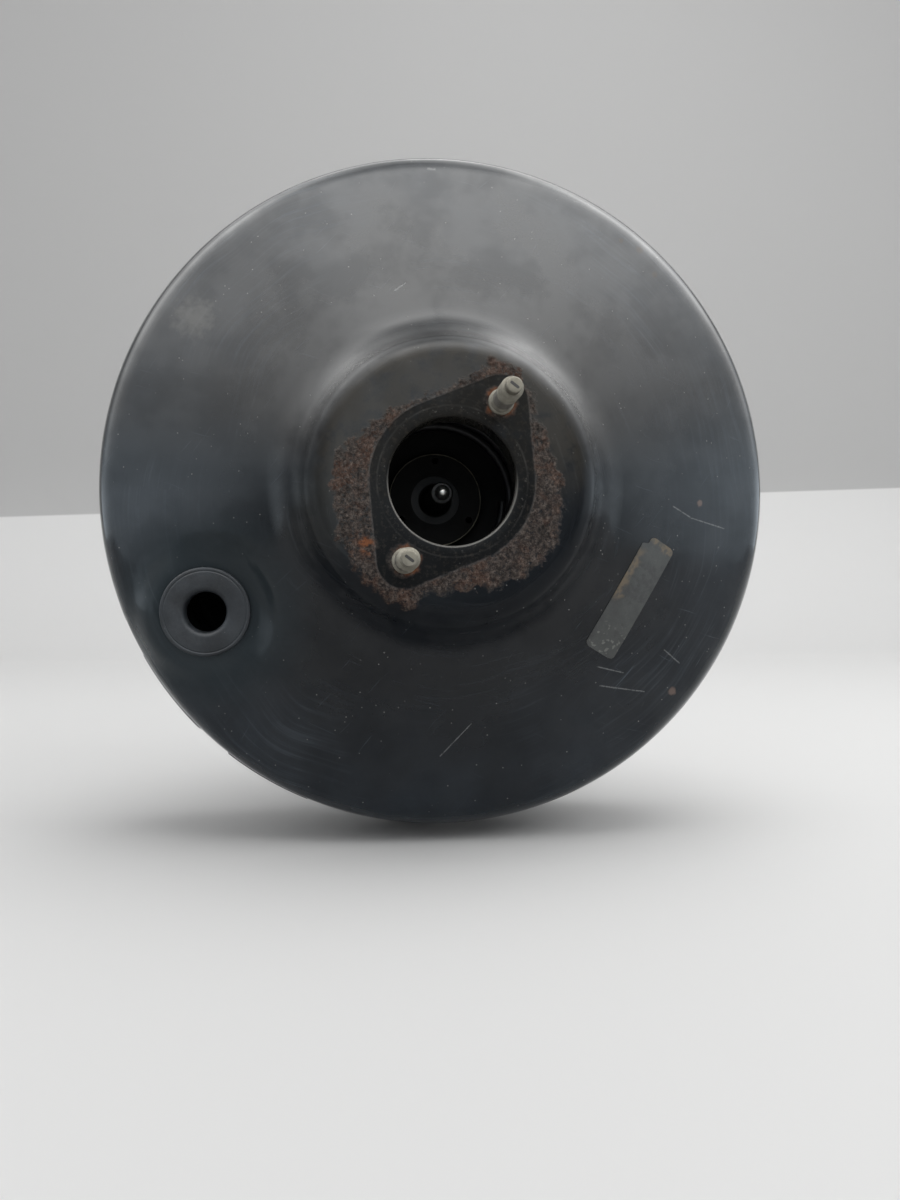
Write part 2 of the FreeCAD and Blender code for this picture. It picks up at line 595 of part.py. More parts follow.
def input_rod():
    neck_end = washer_back_y + 2.0
    piece = turned([(0, BALL_Y), (INPUT_NECK_RADIUS, BALL_Y), (INPUT_NECK_RADIUS, neck_end),
                    (INPUT_ROD_RADIUS, neck_end + 1.2), (INPUT_ROD_RADIUS, ROD_SPRING_SEAT_Y + RETAINER_WALL),
                    (ROD_COLLAR_RADIUS, ROD_SPRING_SEAT_Y + RETAINER_WALL),
                    (ROD_COLLAR_RADIUS, ROD_SPRING_SEAT_Y + RETAINER_WALL + 2.0),
                    (INPUT_ROD_RADIUS, ROD_SPRING_SEAT_Y + RETAINER_WALL + 2.0),
                    (INPUT_ROD_RADIUS, THREAD_START_Y), (THREAD_RADIUS, THREAD_START_Y + 1.0),
                    (THREAD_RADIUS, clevis_y + CLEVIS_BLOCK - 1), (THREAD_RADIUS - 1, clevis_y + CLEVIS_BLOCK),
                    (0, clevis_y + CLEVIS_BLOCK)])
    return piece.fuse(Part.makeSphere(BALL_RADIUS, V(0, BALL_Y, 0))).removeSplitter()


def output_rod():
    foot = reaction_front_y
    return turned([(0, foot), (NOSE_BORE - 0.2, foot), (NOSE_BORE - 0.2, NOSE_FRONT_Y + 1.0),
                   (OUTPUT_ROD_RADIUS + 2.5, NOSE_FRONT_Y + 1.0, 1.0), (OUTPUT_ROD_RADIUS, NOSE_FRONT_Y - 3.0, 2.0),
                   (OUTPUT_ROD_RADIUS, OUTPUT_SLEEVE_Y + 0.8), (OUTPUT_ROD_RADIUS - 0.8, OUTPUT_SLEEVE_Y),
                   (OUTPUT_SCREW_RADIUS, OUTPUT_SLEEVE_Y),
                   (OUTPUT_SCREW_RADIUS, OUTPUT_SLEEVE_Y + OUTPUT_SOCKET_DEPTH), (0, OUTPUT_SLEEVE_Y + OUTPUT_SOCKET_DEPTH)])


def output_rod_tip():
    screw = rod(OUTPUT_SCREW_RADIUS, OUTPUT_TIP_Y + OUTPUT_BALL_RADIUS, OUTPUT_SLEEVE_Y + 0.9 * OUTPUT_SOCKET_DEPTH)
    return screw.fuse(Part.makeSphere(OUTPUT_BALL_RADIUS, V(0, OUTPUT_TIP_Y + OUTPUT_BALL_RADIUS, 0))).removeSplitter()


def filter_cap():
    cap = ring(FILTER_HOLE + 0.4, CHAMBER_BORE, filter_end_y, filter_end_y + FILTER_CAP_THICKNESS)
    for k in range(8):
        angle = math.radians(22.5 + 45 * k)
        at = (FILTER_HOLE + CHAMBER_BORE) / 2
        cap = cap.cut(rod(2.6, filter_end_y - 1, TUBE_END_Y, at * math.cos(angle), at * math.sin(angle)))
    return cap


def dust_boot():
    start = NECK_LENGTH - BOOT_COLLAR
    points = [(NECK_RADIUS + BOOT_WALL, start), (NECK_RADIUS + BOOT_WALL, NECK_LENGTH, 0.8)]
    step = (BOOT_FOLD_END - NECK_LENGTH) / BOOT_FOLDS
    for k in range(BOOT_FOLDS):
        y = NECK_LENGTH + step * k
        points.append((BOOT_PEAK, y + step * 0.45, 1.6))
        points.append((BOOT_VALLEY, y + step * 0.95, 1.6))
    points.append((BOOT_VALLEY + 1.5, BOOT_FOLD_END + 3.0, 1.6))
    points.append((THREAD_RADIUS + BOOT_WALL + 2.0, BOOT_GRIP_Y - 1.0, 2.0))
    points.append((THREAD_RADIUS + BOOT_WALL, BOOT_GRIP_Y, 1.5))
    points.append((THREAD_RADIUS + BOOT_WALL, BOOT_GRIP_Y + BOOT_GRIP))
    return sheet(points, -BOOT_WALL)


def lock_nut():
    nut = hexagon(NUT_ACROSS, NUT_Y, clevis_y)
    reach = NUT_ACROSS / math.sqrt(3)
    dome = turned([(0, NUT_Y), (reach - 1.2, NUT_Y), (reach + 0.1, NUT_Y + 0.8), (reach + 0.1, clevis_y - 0.8),
                   (reach - 1.2, clevis_y), (0, clevis_y)])
    return nut.common(dome).cut(rod(THREAD_RADIUS, NUT_Y - 1, clevis_y + 1))


def clevis():
    end = CLEVIS_PIN_Y
    half_h = CLEVIS_HEIGHT / 2
    half_w = CLEVIS_WIDTH / 2
    body = block(-half_w, half_w, clevis_y, end, -half_h, half_h)
    body = body.fuse(Part.makeCylinder(half_h, CLEVIS_WIDTH, V(-half_w, end, 0), V(1, 0, 0)))
    throat = clevis_y + CLEVIS_BLOCK
    body = body.cut(block(-CLEVIS_SLOT / 2, CLEVIS_SLOT / 2, throat, end + half_h + 1, -half_h - 1, half_h + 1))
    body = body.cut(Part.makeCylinder(CLEVIS_PIN_RADIUS, CLEVIS_WIDTH + 2, V(-half_w - 1, end, 0), V(1, 0, 0)))
    return body.cut(rod(THREAD_RADIUS, clevis_y - 1, throat)).removeSplitter()


def return_spring():
    return coil(RETURN_FRONT_RADIUS, RETURN_REAR_RADIUS, RETURN_WIRE, RETURN_TURNS,
                hub_inner_y + FRONT_PLATE_THICKNESS, PLATE_FRONT_Y)


def poppet_spring():
    return coil(POPPET_SPRING_RADIUS, POPPET_SPRING_RADIUS, POPPET_WIRE, POPPET_TURNS, washer_back_y, RETAINER_Y)


def input_return_spring():
    return coil(INPUT_SPRING_RADIUS, INPUT_SPRING_RADIUS, INPUT_WIRE, INPUT_TURNS,
                RETAINER_Y + RETAINER_WALL, ROD_SPRING_SEAT_Y)


bearing_end_y = 12.0
seal_end_y = 21.0
neck_inner = NECK_RADIUS - SHELL_WALL
running_bore = TUBE_RADIUS + RUNNING_GAP

nodes = {
    "front_shell": front_shell(),
    "rear_shell": rear_shell(),
    "front_reinforcement_plate": front_plate(),
    "rear_reinforcement_plate": rear_plate(),
    "master_cylinder_studs": master_cylinder_studs(),
    "bulkhead_studs": bulkhead_stud_set(),
    "check_valve_grommet": grommet(),
    "label_strip": label(),
    "neck_bearing": ring(running_bore, neck_inner, -SHELL_WALL, bearing_end_y),
    "neck_seal": ring(running_bore, neck_inner, bearing_end_y, seal_end_y),
    "neck_seal_retainer": turned([(TUBE_RADIUS + 0.6, seal_end_y), (neck_inner, seal_end_y),
                                  (neck_inner, NECK_LENGTH - SHELL_WALL, 0.6),
                                  (TUBE_RADIUS + 0.6, NECK_LENGTH - SHELL_WALL)]),
    "diaphragm": diaphragm(),
    "dust_boot": dust_boot(),
    "return_spring": return_spring(),
    "valve_body": valve_body(),
    "diaphragm_plate": diaphragm_plate(),
    "reaction_disc": rod(NOSE_BORE, reaction_front_y, reaction_rear_y),
    "output_rod": output_rod(),
    "output_rod_tip": output_rod_tip(),
    "output_rod_retainer": ring(PUSHROD_RETAINER_HOLE, NOSE_BORE, NOSE_FRONT_Y, NOSE_FRONT_Y + 1.0),
    "poppet_retainer": poppet_retainer(),
    "air_filter": ring(FILTER_HOLE, CHAMBER_BORE, FILTER_Y, filter_end_y),
    "filter_cap": filter_cap(),
    "valve_plunger": valve_plunger(),
    "plunger_key": plunger_key(),
    "poppet_valve": poppet_valve(),
    "poppet_washer": ring(POPPET_INNER + 1.0, POPPET_OUTER - 2.2, poppet_back_y, washer_back_y),
    "poppet_bellows": poppet_bellows(),
    "poppet_spring": poppet_spring(),
    "input_return_spring": input_return_spring(),
    "input_rod": input_rod(),
    "input_spring_washer": ring(INPUT_ROD_RADIUS, INPUT_SPRING_RADIUS + 2.0, ROD_SPRING_SEAT_Y,
                                ROD_SPRING_SEAT_Y + RETAINER_WALL),
    "clevis_lock_nut": lock_nut(),
    "pedal_clevis": clevis(),
}

os.makedirs("parts", exist_ok=True)
for name, shape in nodes.items():
    shape.exportStep("parts/%s.step" % name)
    print(name, "solids", len(shape.Solids), "valid", shape.isValid(), "volume", round(shape.Volume, 1))
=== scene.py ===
# %% [markdown]
# # A brake booster, dressed for its portrait
# The object is a vacuum brake booster: two pressed steel shells crimped together at the rim, a
# diaphragm and a valve inside, and the rod from the pedal behind. The portrait looks almost along
# its axis at the side where the master cylinder bolts on. The CAD model gives every piece its
# place. This file gives the pieces their surfaces: gloss black paint that has been wiped, scratched
# and eaten by brake fluid, dull zinc studs, old rubber and a bare worn label.

# %% Load the frame
import bpy
import bmesh
import math
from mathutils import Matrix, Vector


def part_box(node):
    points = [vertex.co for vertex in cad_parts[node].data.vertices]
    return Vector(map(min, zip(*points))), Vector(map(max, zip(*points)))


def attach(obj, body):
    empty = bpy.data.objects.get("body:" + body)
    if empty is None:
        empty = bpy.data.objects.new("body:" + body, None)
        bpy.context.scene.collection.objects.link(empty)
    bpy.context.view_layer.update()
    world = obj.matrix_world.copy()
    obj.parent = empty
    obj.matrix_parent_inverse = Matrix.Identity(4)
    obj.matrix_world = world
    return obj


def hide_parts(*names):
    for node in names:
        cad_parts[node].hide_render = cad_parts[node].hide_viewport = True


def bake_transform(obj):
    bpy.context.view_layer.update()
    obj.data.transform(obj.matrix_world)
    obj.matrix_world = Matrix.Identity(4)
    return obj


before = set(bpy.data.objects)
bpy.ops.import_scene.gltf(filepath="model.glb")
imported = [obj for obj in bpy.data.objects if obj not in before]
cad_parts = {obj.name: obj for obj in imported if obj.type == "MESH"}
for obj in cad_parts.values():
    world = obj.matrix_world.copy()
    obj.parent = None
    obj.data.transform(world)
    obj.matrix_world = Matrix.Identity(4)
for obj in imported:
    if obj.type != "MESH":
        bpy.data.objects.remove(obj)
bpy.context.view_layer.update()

# %% [markdown]
# ## Sizes
# All sizes are in millimetres, as in the CAD source, and become metres only when a mesh is made.
# The booster axis is Y. Depth is counted from the flat hub face toward the pedal, so a point of the
# shell is a (radius, depth) pair. What the frame can tell is read from it.

# %% Sizes
MM = 0.001
shell_low, shell_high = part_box("front_shell")
stud_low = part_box("master_cylinder_studs")[0]
grommet_low, grommet_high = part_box("check_valve_grommet")
label_low, label_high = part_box("label_strip")

HUB_Y = shell_low.y / MM
FLANGE_RADIUS = shell_high.x / MM
LUG_BACK_Y = shell_high.y / MM
SHELL_WALL = 2.0
RIM_RADIUS = 135.0
FLANGE_Y = LUG_BACK_Y - 11.0
JOINT_RADIUS = 137.5
OPENING_RADIUS = 23.2
OPENING_LIP = 12.0
HUB_CORNER = 51.5
HUB_FOOT = 57.4
HUB_FOOT_DEPTH = 13.0
CONE_SLOPE = math.radians(17.0)
STUD_ANGLE = math.radians(58.8)
STUD_CIRCLE = 33.5
STUD_TIP_Y = stud_low.y / MM
GROMMET_RADIUS = (grommet_high.x - grommet_low.x) / 2 / MM
GROMMET_X = (grommet_low.x + grommet_high.x) / 2 / MM
GROMMET_Z = (grommet_low.z + grommet_high.z) / 2 / MM
GROMMET_FACE_Y = grommet_low.y / MM
GROMMET_HEIGHT = 1.8
PAD_Y = GROMMET_FACE_Y + GROMMET_HEIGHT
LABEL_X = (label_low.x + label_high.x) / 2 / MM
LABEL_Z = (label_low.z + label_high.z) / 2 / MM
print("hub face at y", round(HUB_Y, 1), "flange radius", round(FLANGE_RADIUS, 1))
print("grommet at", round(GROMMET_X, 1), round(GROMMET_Z, 1), "radius", round(GROMMET_RADIUS, 1))


def cone_y(radius):
    """Outer face of the front shell's cone at a radius."""
    return HUB_Y + HUB_FOOT_DEPTH + (radius - HUB_FOOT) * math.tan(CONE_SLOPE)


# %% [markdown]
# ## Helpers that turn outlines into metal
# Almost everything here was made round, on a press or a lathe. So one helper rounds the corners of
# an outline, and another turns the outline about the booster axis. A turned mesh has its rows of
# faces where the curve needs them, so highlights run cleanly round it, which a boolean of
# cylinders would not give. An outline that starts on the axis starts a thousandth beside it, so
# that its first faces have a width.

# %% Outlines
AXIS = 0.001


def rounded(points, step=10.0, closed=False):
    """Replace the corners of (radius, y, round) points by arcs, one point every step degrees."""
    result = []
    count = len(points)
    for i in range(count):
        here = Vector(points[i][:2])
        radius = points[i][2] if len(points[i]) > 2 else 0.0
        if radius <= 0 or (not closed and i in (0, count - 1)):
            result.append(tuple(here))
            continue
        a = (Vector(points[i - 1][:2]) - here).normalized()
        b = (Vector(points[(i + 1) % count][:2]) - here).normalized()
        half = a.angle(b) / 2
        centre = here + (a + b).normalized() * (radius / math.sin(half))
        first = here + a * (radius / math.tan(half)) - centre
        last = here + b * (radius / math.tan(half)) - centre
        sweep = math.atan2(first.x * last.y - first.y * last.x, first.dot(last))
        parts = max(2, int(abs(math.degrees(sweep)) / step))
        for k in range(parts + 1):
            turn = sweep * k / parts
            arm = Vector((first.x * math.cos(turn) - first.y * math.sin(turn),
                          first.x * math.sin(turn) + first.y * math.cos(turn)))
            result.append(tuple(centre + arm))
    return result


def divided(points, longest):
    """Cut long runs of an outline so that no run is longer than longest."""
    result = [points[0]]
    for a, b in zip(points, points[1:]):
        length = math.hypot(b[0] - a[0], b[1] - a[1])
        parts = max(1, math.ceil(length / longest))
        for k in range(1, parts + 1):
            result.append((a[0] + (b[0] - a[0]) * k / parts, a[1] + (b[1] - a[1]) * k / parts))
    return result


# %% Pieces made of faces
SHARP_ANGLE = math.radians(35)


def added(name, data):
    """New object in the scene that shows the data."""
    thing = bpy.data.objects.new(name, data)
    bpy.context.scene.collection.objects.link(thing)
    return thing


def smoothed(mesh):
    """Smooth shading that stops at sharp edges."""
    mesh.shade_smooth()
    mesh.set_sharp_from_angle(angle=SHARP_ANGLE)


def make_object(name, verts, faces, material=None):
    """Object from vertices and faces, with doubles merged and all faces turned outward."""
    mesh = bpy.data.meshes.new(name)
    mesh.from_pydata(verts, [], faces)
    cleaner = bmesh.new()
    cleaner.from_mesh(mesh)
    bmesh.ops.remove_doubles(cleaner, verts=cleaner.verts, dist=1e-6)
    bmesh.ops.recalc_face_normals(cleaner, faces=cleaner.faces)
    cleaner.to_mesh(mesh)
    cleaner.free()
    smoothed(mesh)
    if material:
        mesh.materials.append(material)
    return added(name, mesh)


def turned(name, outline, segments=128, closed=True, at=(0.0, 0.0), swell=None, arc=None, material=None):
    """Turn an outline about an axis along Y that passes through at. swell(r, y, angle) changes r."""
    verts = []
    faces = []
    start, sweep = arc if arc else (0.0, 2 * math.pi)
    columns = segments + (1 if arc else 0)
    for i in range(columns):
        angle = start + sweep * i / segments
        for r, y in outline:
            radius = swell(r, y, angle) if swell else r
            x = at[0] + radius * math.cos(angle)
            z = at[1] + radius * math.sin(angle)
            verts.append((x * MM, y * MM, z * MM))
    rows = len(outline)
    for i in range(segments):
        j = (i + 1) % columns
        for k in range(rows if closed else rows - 1):
            m = (k + 1) % rows
            faces.append((i * rows + k, j * rows + k, j * rows + m, i * rows + m))
    if arc and closed:
        faces.append(tuple(range(rows)))
        faces.append(tuple(range((columns - 1) * rows, columns * rows)))
    return make_object(name, verts, faces, material)


# %% Changes to a finished piece
def apply_modifiers(piece):
    """Bake the live modifiers into a plain mesh."""
    seen = piece.evaluated_get(bpy.context.evaluated_depsgraph_get())
    mesh = bpy.data.meshes.new_from_object(seen)
    piece.modifiers.clear()
    piece.data = mesh


def cut_out(piece, tool):
    """Take the volume of a tool out of a piece, and the tool out of the scene."""
    cut = piece.modifiers.new(tool.name, "BOOLEAN")
    cut.object = tool
    cut.operation = "DIFFERENCE"
    cut.solver = "EXACT"
    apply_modifiers(piece)
    bpy.data.objects.remove(tool)


def painted(piece, material):
    """Give a piece one material and smooth shading."""
    piece.data.materials.clear()
    piece.data.materials.append(material)
    smoothed(piece.data)


def joined(name, pieces, material):
    """One piece made of several, in one material."""
    verts = []
    faces = []
    for piece in pieces:
        base = len(verts)
        verts += [v.co.copy() for v in piece.data.vertices]
        faces += [[base + v for v in face.vertices] for face in piece.data.polygons]
        bpy.data.objects.remove(piece)
    mesh = bpy.data.meshes.new(name)
    mesh.from_pydata(verts, [], faces)
    mesh.materials.append(material)
    smoothed(mesh)
    return added(name, mesh)


# %% [markdown]
# ## Writing materials as text
# A material here is a small node tree. Building one takes many lines of clicking or of script, so
# this cell gives each tree a thin helper: it adds a node, sets its numbers and wires its inputs in
# one call. Sums and products of masks then read like sums and products. An effect that several
# materials share becomes a node group with named sockets, so that dust or scuffs are tuned in one
# place and dosed by each material. The Geometry Nodes trees further down use the same helper.

# %% Node helper
class Tree:
    """A node tree that is built by calls. Values may be numbers, colours or another node's output."""

    def __init__(self, tree):
        self.tree = tree

    def wire(self, sockets, values):
        """Link or set sockets by name or number. A colour gets its alpha here."""
        for key, value in values.items():
            if isinstance(value, bpy.types.NodeSocket):
                self.tree.links.new(value, sockets[key])
            elif sockets[key].type == "RGBA":
                sockets[key].default_value = (*value, 1.0)
            else:
                sockets[key].default_value = value

    def outputs(self, kind, inputs=None, **settings):
        made = self.tree.nodes.new(kind if "Node" in kind else "ShaderNode" + kind)
        for key, value in settings.items():
            setattr(made, key, value)
        self.wire(made.inputs, inputs or {})
        return made.outputs

    def node(self, kind, inputs=None, output=0, **settings):
        return self.outputs(kind, inputs, **settings)[output]

    def group(self, group, inputs):
        return self.outputs("Group", inputs, node_tree=group)

    def separate(self, vector):
        return self.outputs("SeparateXYZ", {0: vector})

    def math(self, operation, a, b=0.0, c=0.0, clamp=False):
        return self.node("Math", {0: a, 1: b, 2: c}, operation=operation, use_clamp=clamp)

    def plus(self, a, b, clamp=False):
        return self.math("ADD", a, b, clamp=clamp)

    def minus(self, a, b, clamp=False):
        return self.math("SUBTRACT", a, b, clamp=clamp)

    def times(self, first, *others, clamp=False):
        for other in others:
            first = self.math("MULTIPLY", first, other, clamp=clamp)
        return first

    def most(self, first, *others):
        for other in others:
            first = self.math("MAXIMUM", first, other)
        return first

    def line(self, value, factor, offset, clamp=False):
        """factor x value + offset"""
        return self.math("MULTIPLY_ADD", value, factor, offset, clamp=clamp)

    def hypot(self, a, b):
        return self.math("SQRT", self.plus(self.times(a, a), self.times(b, b)))

    def vector_math(self, operation, a, b=(0, 0, 0), output=0):
        return self.node("VectorMath", {0: a, 1: b}, output, operation=operation)

    def scaled(self, vector, factor):
        return self.node("VectorMath", {0: vector, "Scale": factor}, operation="SCALE")

    def spun(self, vector, angle):
        """A vector turned about the booster axis."""
        return self.node("VectorRotate", {"Vector": vector, "Axis": (0, 1, 0), "Angle": angle},
                         rotation_type="AXIS_ANGLE")

    def map(self, value, low, high, to_low=0.0, to_high=1.0, smooth=True):
        kind = "SMOOTHSTEP" if smooth else "LINEAR"
        return self.node("MapRange", {"Value": value, "From Min": low, "From Max": high,
                                      "To Min": to_low, "To Max": to_high}, interpolation_type=kind)

    def band(self, value, centre, outer, inner):
        """1 near a value and 0 away from it."""
        return self.map(self.math("ABSOLUTE", self.minus(value, centre)), outer, inner)

    def noise(self, vector, scale, detail=3.0, rough=0.5, output=0):
        return self.node("TexNoise", {"Vector": vector, "Scale": scale, "Detail": detail,
                                      "Roughness": rough}, output)

    def ragged(self, vector, scale, detail, amount, rough=0.5):
        """Noise about zero that breaks the edge of a mask."""
        return self.times(self.minus(self.noise(vector, scale, detail, rough), 0.5), amount)

    def mix(self, factor, a, b):
        return self.node("Mix", {0: factor, 6: a, 7: b}, 2, data_type="RGBA")

    def over(self, colour, mask, amount, tint):
        """A colour with a film of another one where a mask is."""
        return self.mix(self.times(mask, amount), colour, tint)

    def ramp(self, factor, stops, easing="LINEAR"):
        """Colour ramp through (place, colour) stops."""
        made = self.tree.nodes.new("ShaderNodeValToRGB")
        self.wire(made.inputs, {0: factor})
        made.color_ramp.interpolation = easing
        own = made.color_ramp.elements
        own[0].position, own[1].position = stops[0][0], stops[-1][0]
        own[0].color, own[1].color = (*stops[0][1], 1.0), (*stops[-1][1], 1.0)
        for place, colour in stops[1:-1]:
            own.new(place).color = (*colour, 1.0)
        return made.outputs[0]

    def object_position(self):
        """Object coordinates in millimetres."""
        return self.scaled(self.node("TexCoord", output="Object"), 1000.0)


# %% New groups and materials
SOCKETS = {"f": "Float", "v": "Vector", "c": "Color", "i": "Int", "o": "Object", "m": "Material",
           "g": "Geometry"}


def new_group(name, inputs, outputs, kind="ShaderNodeTree"):
    """A node group with named sockets, and the tree, inputs and outputs to fill it by."""
    group = bpy.data.node_groups.new(name, kind)
    for label, socket_kind, value in inputs:
        socket = group.interface.new_socket(name=label, in_out="INPUT",
                                            socket_type="NodeSocket" + SOCKETS[socket_kind])
        if value is not None:
            socket.default_value = value
    for label, socket_kind in outputs:
        group.interface.new_socket(name=label, in_out="OUTPUT",
                                   socket_type="NodeSocket" + SOCKETS[socket_kind])
    source = group.nodes.new("NodeGroupInput")
    sink = group.nodes.new("NodeGroupOutput")
    return group, Tree(group), source.outputs, sink.inputs


def new_material(name):
    material = bpy.data.materials.new(name)
    material.use_nodes = True
    shader = material.node_tree.nodes["Principled BSDF"]
    return material, Tree(material.node_tree), shader.inputs


def grey(value):
    return (value, value, value)


# %% [markdown]
# ## Shared effects
# Several finishes share the effects below. Position gives the radius and bearing of a point about
# the booster axis. Scuffs are the streaks and the haze that a cloth leaves as it wipes round the
# cone. Dust settles in a cloudy film with specks. Rust has colour, a rough height and a mottled
# edge. All of them are measured in millimetres on the object, so their scale is right on every
# piece.

# %% Group: where a point is about the axis
polar_group, t, given, result = new_group(
    "Place about the axis", [("Position", "v", None)], [("Radius", "f"), ("Bearing", "f"), ("Flat", "v")])
parts = t.separate(given["Position"])
t.wire(result, {"Radius": t.hypot(parts["X"], parts["Z"]),
                "Bearing": t.math("ARCTAN2", parts["Z"], parts["X"]),
                "Flat": t.node("CombineXYZ", {0: parts["X"], 1: 0.0, 2: parts["Z"]})})

# %% Group: scuffs
scuff_group, t, given, result = new_group(
    "Cloth scuffs", [("Position", "v", None), ("Spacing", "f", 1.6), ("Amount", "f", 0.5)], [("Mask", "f")])
place = given["Position"]
shift = t.vector_math("SUBTRACT", t.noise(place, 0.012, 2.0, output=1), (0.5, 0.5, 0.5))
bent = t.vector_math("ADD", place, t.scaled(shift, 22.0))
polar = t.group(polar_group, {"Position": bent})
run = t.node("CombineXYZ", {0: t.math("DIVIDE", polar["Radius"], given["Spacing"]),
                            1: t.times(polar["Bearing"], 2.2), 2: 0.0})
streak = t.map(t.noise(run, 1.0, 4.0, 0.6), 0.46, 0.72)
wiped = t.map(t.noise(place, 0.022, 3.0, 0.55), 0.42, 0.64)
haze = t.map(t.noise(place, 0.03, 5.0, 0.6), 0.3, 0.75)
scuffs = t.plus(t.times(streak, wiped, 0.7), t.times(haze, 0.4))
t.wire(result, {"Mask": t.times(scuffs, given["Amount"], clamp=True)})

# %% Group: dust
dust_group, t, given, result = new_group(
    "Dust film", [("Position", "v", None), ("Amount", "f", 0.5)], [("Film", "f"), ("Specks", "f")])
place, amount = given["Position"], given["Amount"]
cloud = t.map(t.noise(place, 0.025, 6.0, 0.6), 0.3, 0.8)
fine = t.map(t.noise(place, 0.9, 4.0, 0.7), 0.35, 0.75)
film = t.times(cloud, t.line(fine, 0.6, 0.4))
grains = t.node("TexVoronoi", {"Vector": place, "Scale": 0.35, "Randomness": 1.0})
speck = t.times(t.map(grains, 0.13, 0.02), t.map(t.noise(place, 0.21, 1.0), 0.56, 0.6))
t.wire(result, {"Film": t.times(film, amount, clamp=True), "Specks": t.times(speck, amount, clamp=True)})

# %% Group: rust
rust_group, t, given, result = new_group(
    "Rust", [("Position", "v", None), ("Fresh", "f", 0.3)], [("Colour", "c"), ("Height", "f")])
grain = t.noise(given["Position"], 0.8, 6.0, 0.72)
patch = t.map(t.noise(given["Position"], 0.13, 4.0, 0.6), 0.46, 0.62)
old_rust = t.ramp(grain, [(0.36, (0.008, 0.007, 0.0065)), (0.46, (0.03, 0.024, 0.021)),
                          (0.56, (0.075, 0.06, 0.052)), (0.72, (0.17, 0.145, 0.125))])
new_rust = t.mix(grain, (0.05, 0.014, 0.008), (0.36, 0.14, 0.06))
fresh = t.times(patch, given["Fresh"], clamp=True)
t.wire(result, {"Colour": t.mix(fresh, old_rust, new_rust), "Height": grain})
print("shared effects:", [g.name for g in bpy.data.node_groups])

# %% [markdown]
# ## The flange footprint
# The master cylinder sat on the hub for years. Its flange, a round middle with two ears over the
# studs, kept the paint below it clean, and brake fluid lifted the paint around it. The same form
# can be written as one distance: a capsule that is wide in the middle and narrow at each ear. The
# group measures how far outside that outline a point is, so one number drives the clean patch, its
# thin edge line and the rusty band round it.

# %% Group: distance from the master cylinder flange
footprint_group, t, given, result = new_group(
    "Flange footprint",
    [("Position", "v", None), ("Turn", "f", 0.0), ("Middle", "f", 30.5), ("Ear", "f", 10.5),
     ("Reach", "f", 33.5)], [("Distance", "f")])
middle, ear, reach = given["Middle"], given["Ear"], given["Reach"]
parts = t.separate(t.spun(given["Position"], given["Turn"]))
along = t.math("ABSOLUTE", parts["X"])
across = t.math("ABSOLUTE", parts["Z"])
lean = t.math("DIVIDE", t.minus(middle, ear), reach)
rise = t.math("SQRT", t.minus(1.0, t.times(lean, lean)))
place = t.minus(t.times(along, rise), t.times(across, lean))
to_middle = t.minus(t.hypot(along, across), middle)
to_ear = t.minus(t.hypot(t.minus(along, reach), across), ear)
to_side = t.minus(t.plus(t.times(across, rise), t.times(along, lean)), middle)
before = t.math("LESS_THAN", place, 0.0)
after = t.math("GREATER_THAN", place, t.times(rise, reach))
outside = t.node("Mix", {0: after, 2: to_side, 3: to_ear}, data_type="FLOAT")
t.wire(result, {"Distance": t.node("Mix", {0: before, 2: outside, 3: to_middle}, data_type="FLOAT")})

# %% [markdown]
# ## Scratches
# A scratch is a short straight line, thin and slightly broken. Each one in the photograph is
# written down by its two ends on the face of the object, in millimetres from the axis, and the
# first group below draws such a line. A wide search for scratches with noise would put them in the
# wrong places and give them all one direction. The faint hairlines between them are many and have
# no place of their own, so the second group draws them as noise that is stretched along one way.

# %% Group: one scratch
scratch_group, t, given, result = new_group(
    "Scratch", [("Position", "v", None), ("From", "v", None), ("To", "v", None), ("Width", "f", 0.4)],
    [("Mask", "f")])
place = given["Position"]
span = t.vector_math("SUBTRACT", given["To"], given["From"])
arm = t.vector_math("SUBTRACT", place, given["From"])
share = t.math("DIVIDE", t.vector_math("DOT_PRODUCT", arm, span, 1),
               t.vector_math("DOT_PRODUCT", span, span, 1), clamp=True)
gap = t.vector_math("LENGTH", t.vector_math("SUBTRACT", arm, t.scaled(span, share)), output=1)
edge = t.minus(1.0, t.map(t.plus(gap, t.ragged(place, 0.5, 2.0, 0.5)), 0.0, given["Width"]))
worn = t.map(t.noise(place, 1.3, 2.0), 0.3, 0.5)
t.wire(result, {"Mask": t.times(edge, worn)})

# %% Group: hairlines
hairline_group, t, given, result = new_group(
    "Hairlines", [("Position", "v", None), ("Turn", "f", 0.0), ("Amount", "f", 0.5)], [("Mask", "f")])
parts = t.separate(t.spun(given["Position"], given["Turn"]))
bow = t.times(t.noise(given["Position"], 0.02, 2.0), 14.0)
run = t.node("CombineXYZ", {0: t.times(parts["X"], 0.035), 1: t.times(t.plus(parts["Z"], bow), 0.9),
                            2: 0.0})
hair = t.map(t.noise(run, 1.0, 3.0, 0.55), 0.66, 0.74)
t.wire(result, {"Mask": t.times(hair, given["Amount"], clamp=True)})
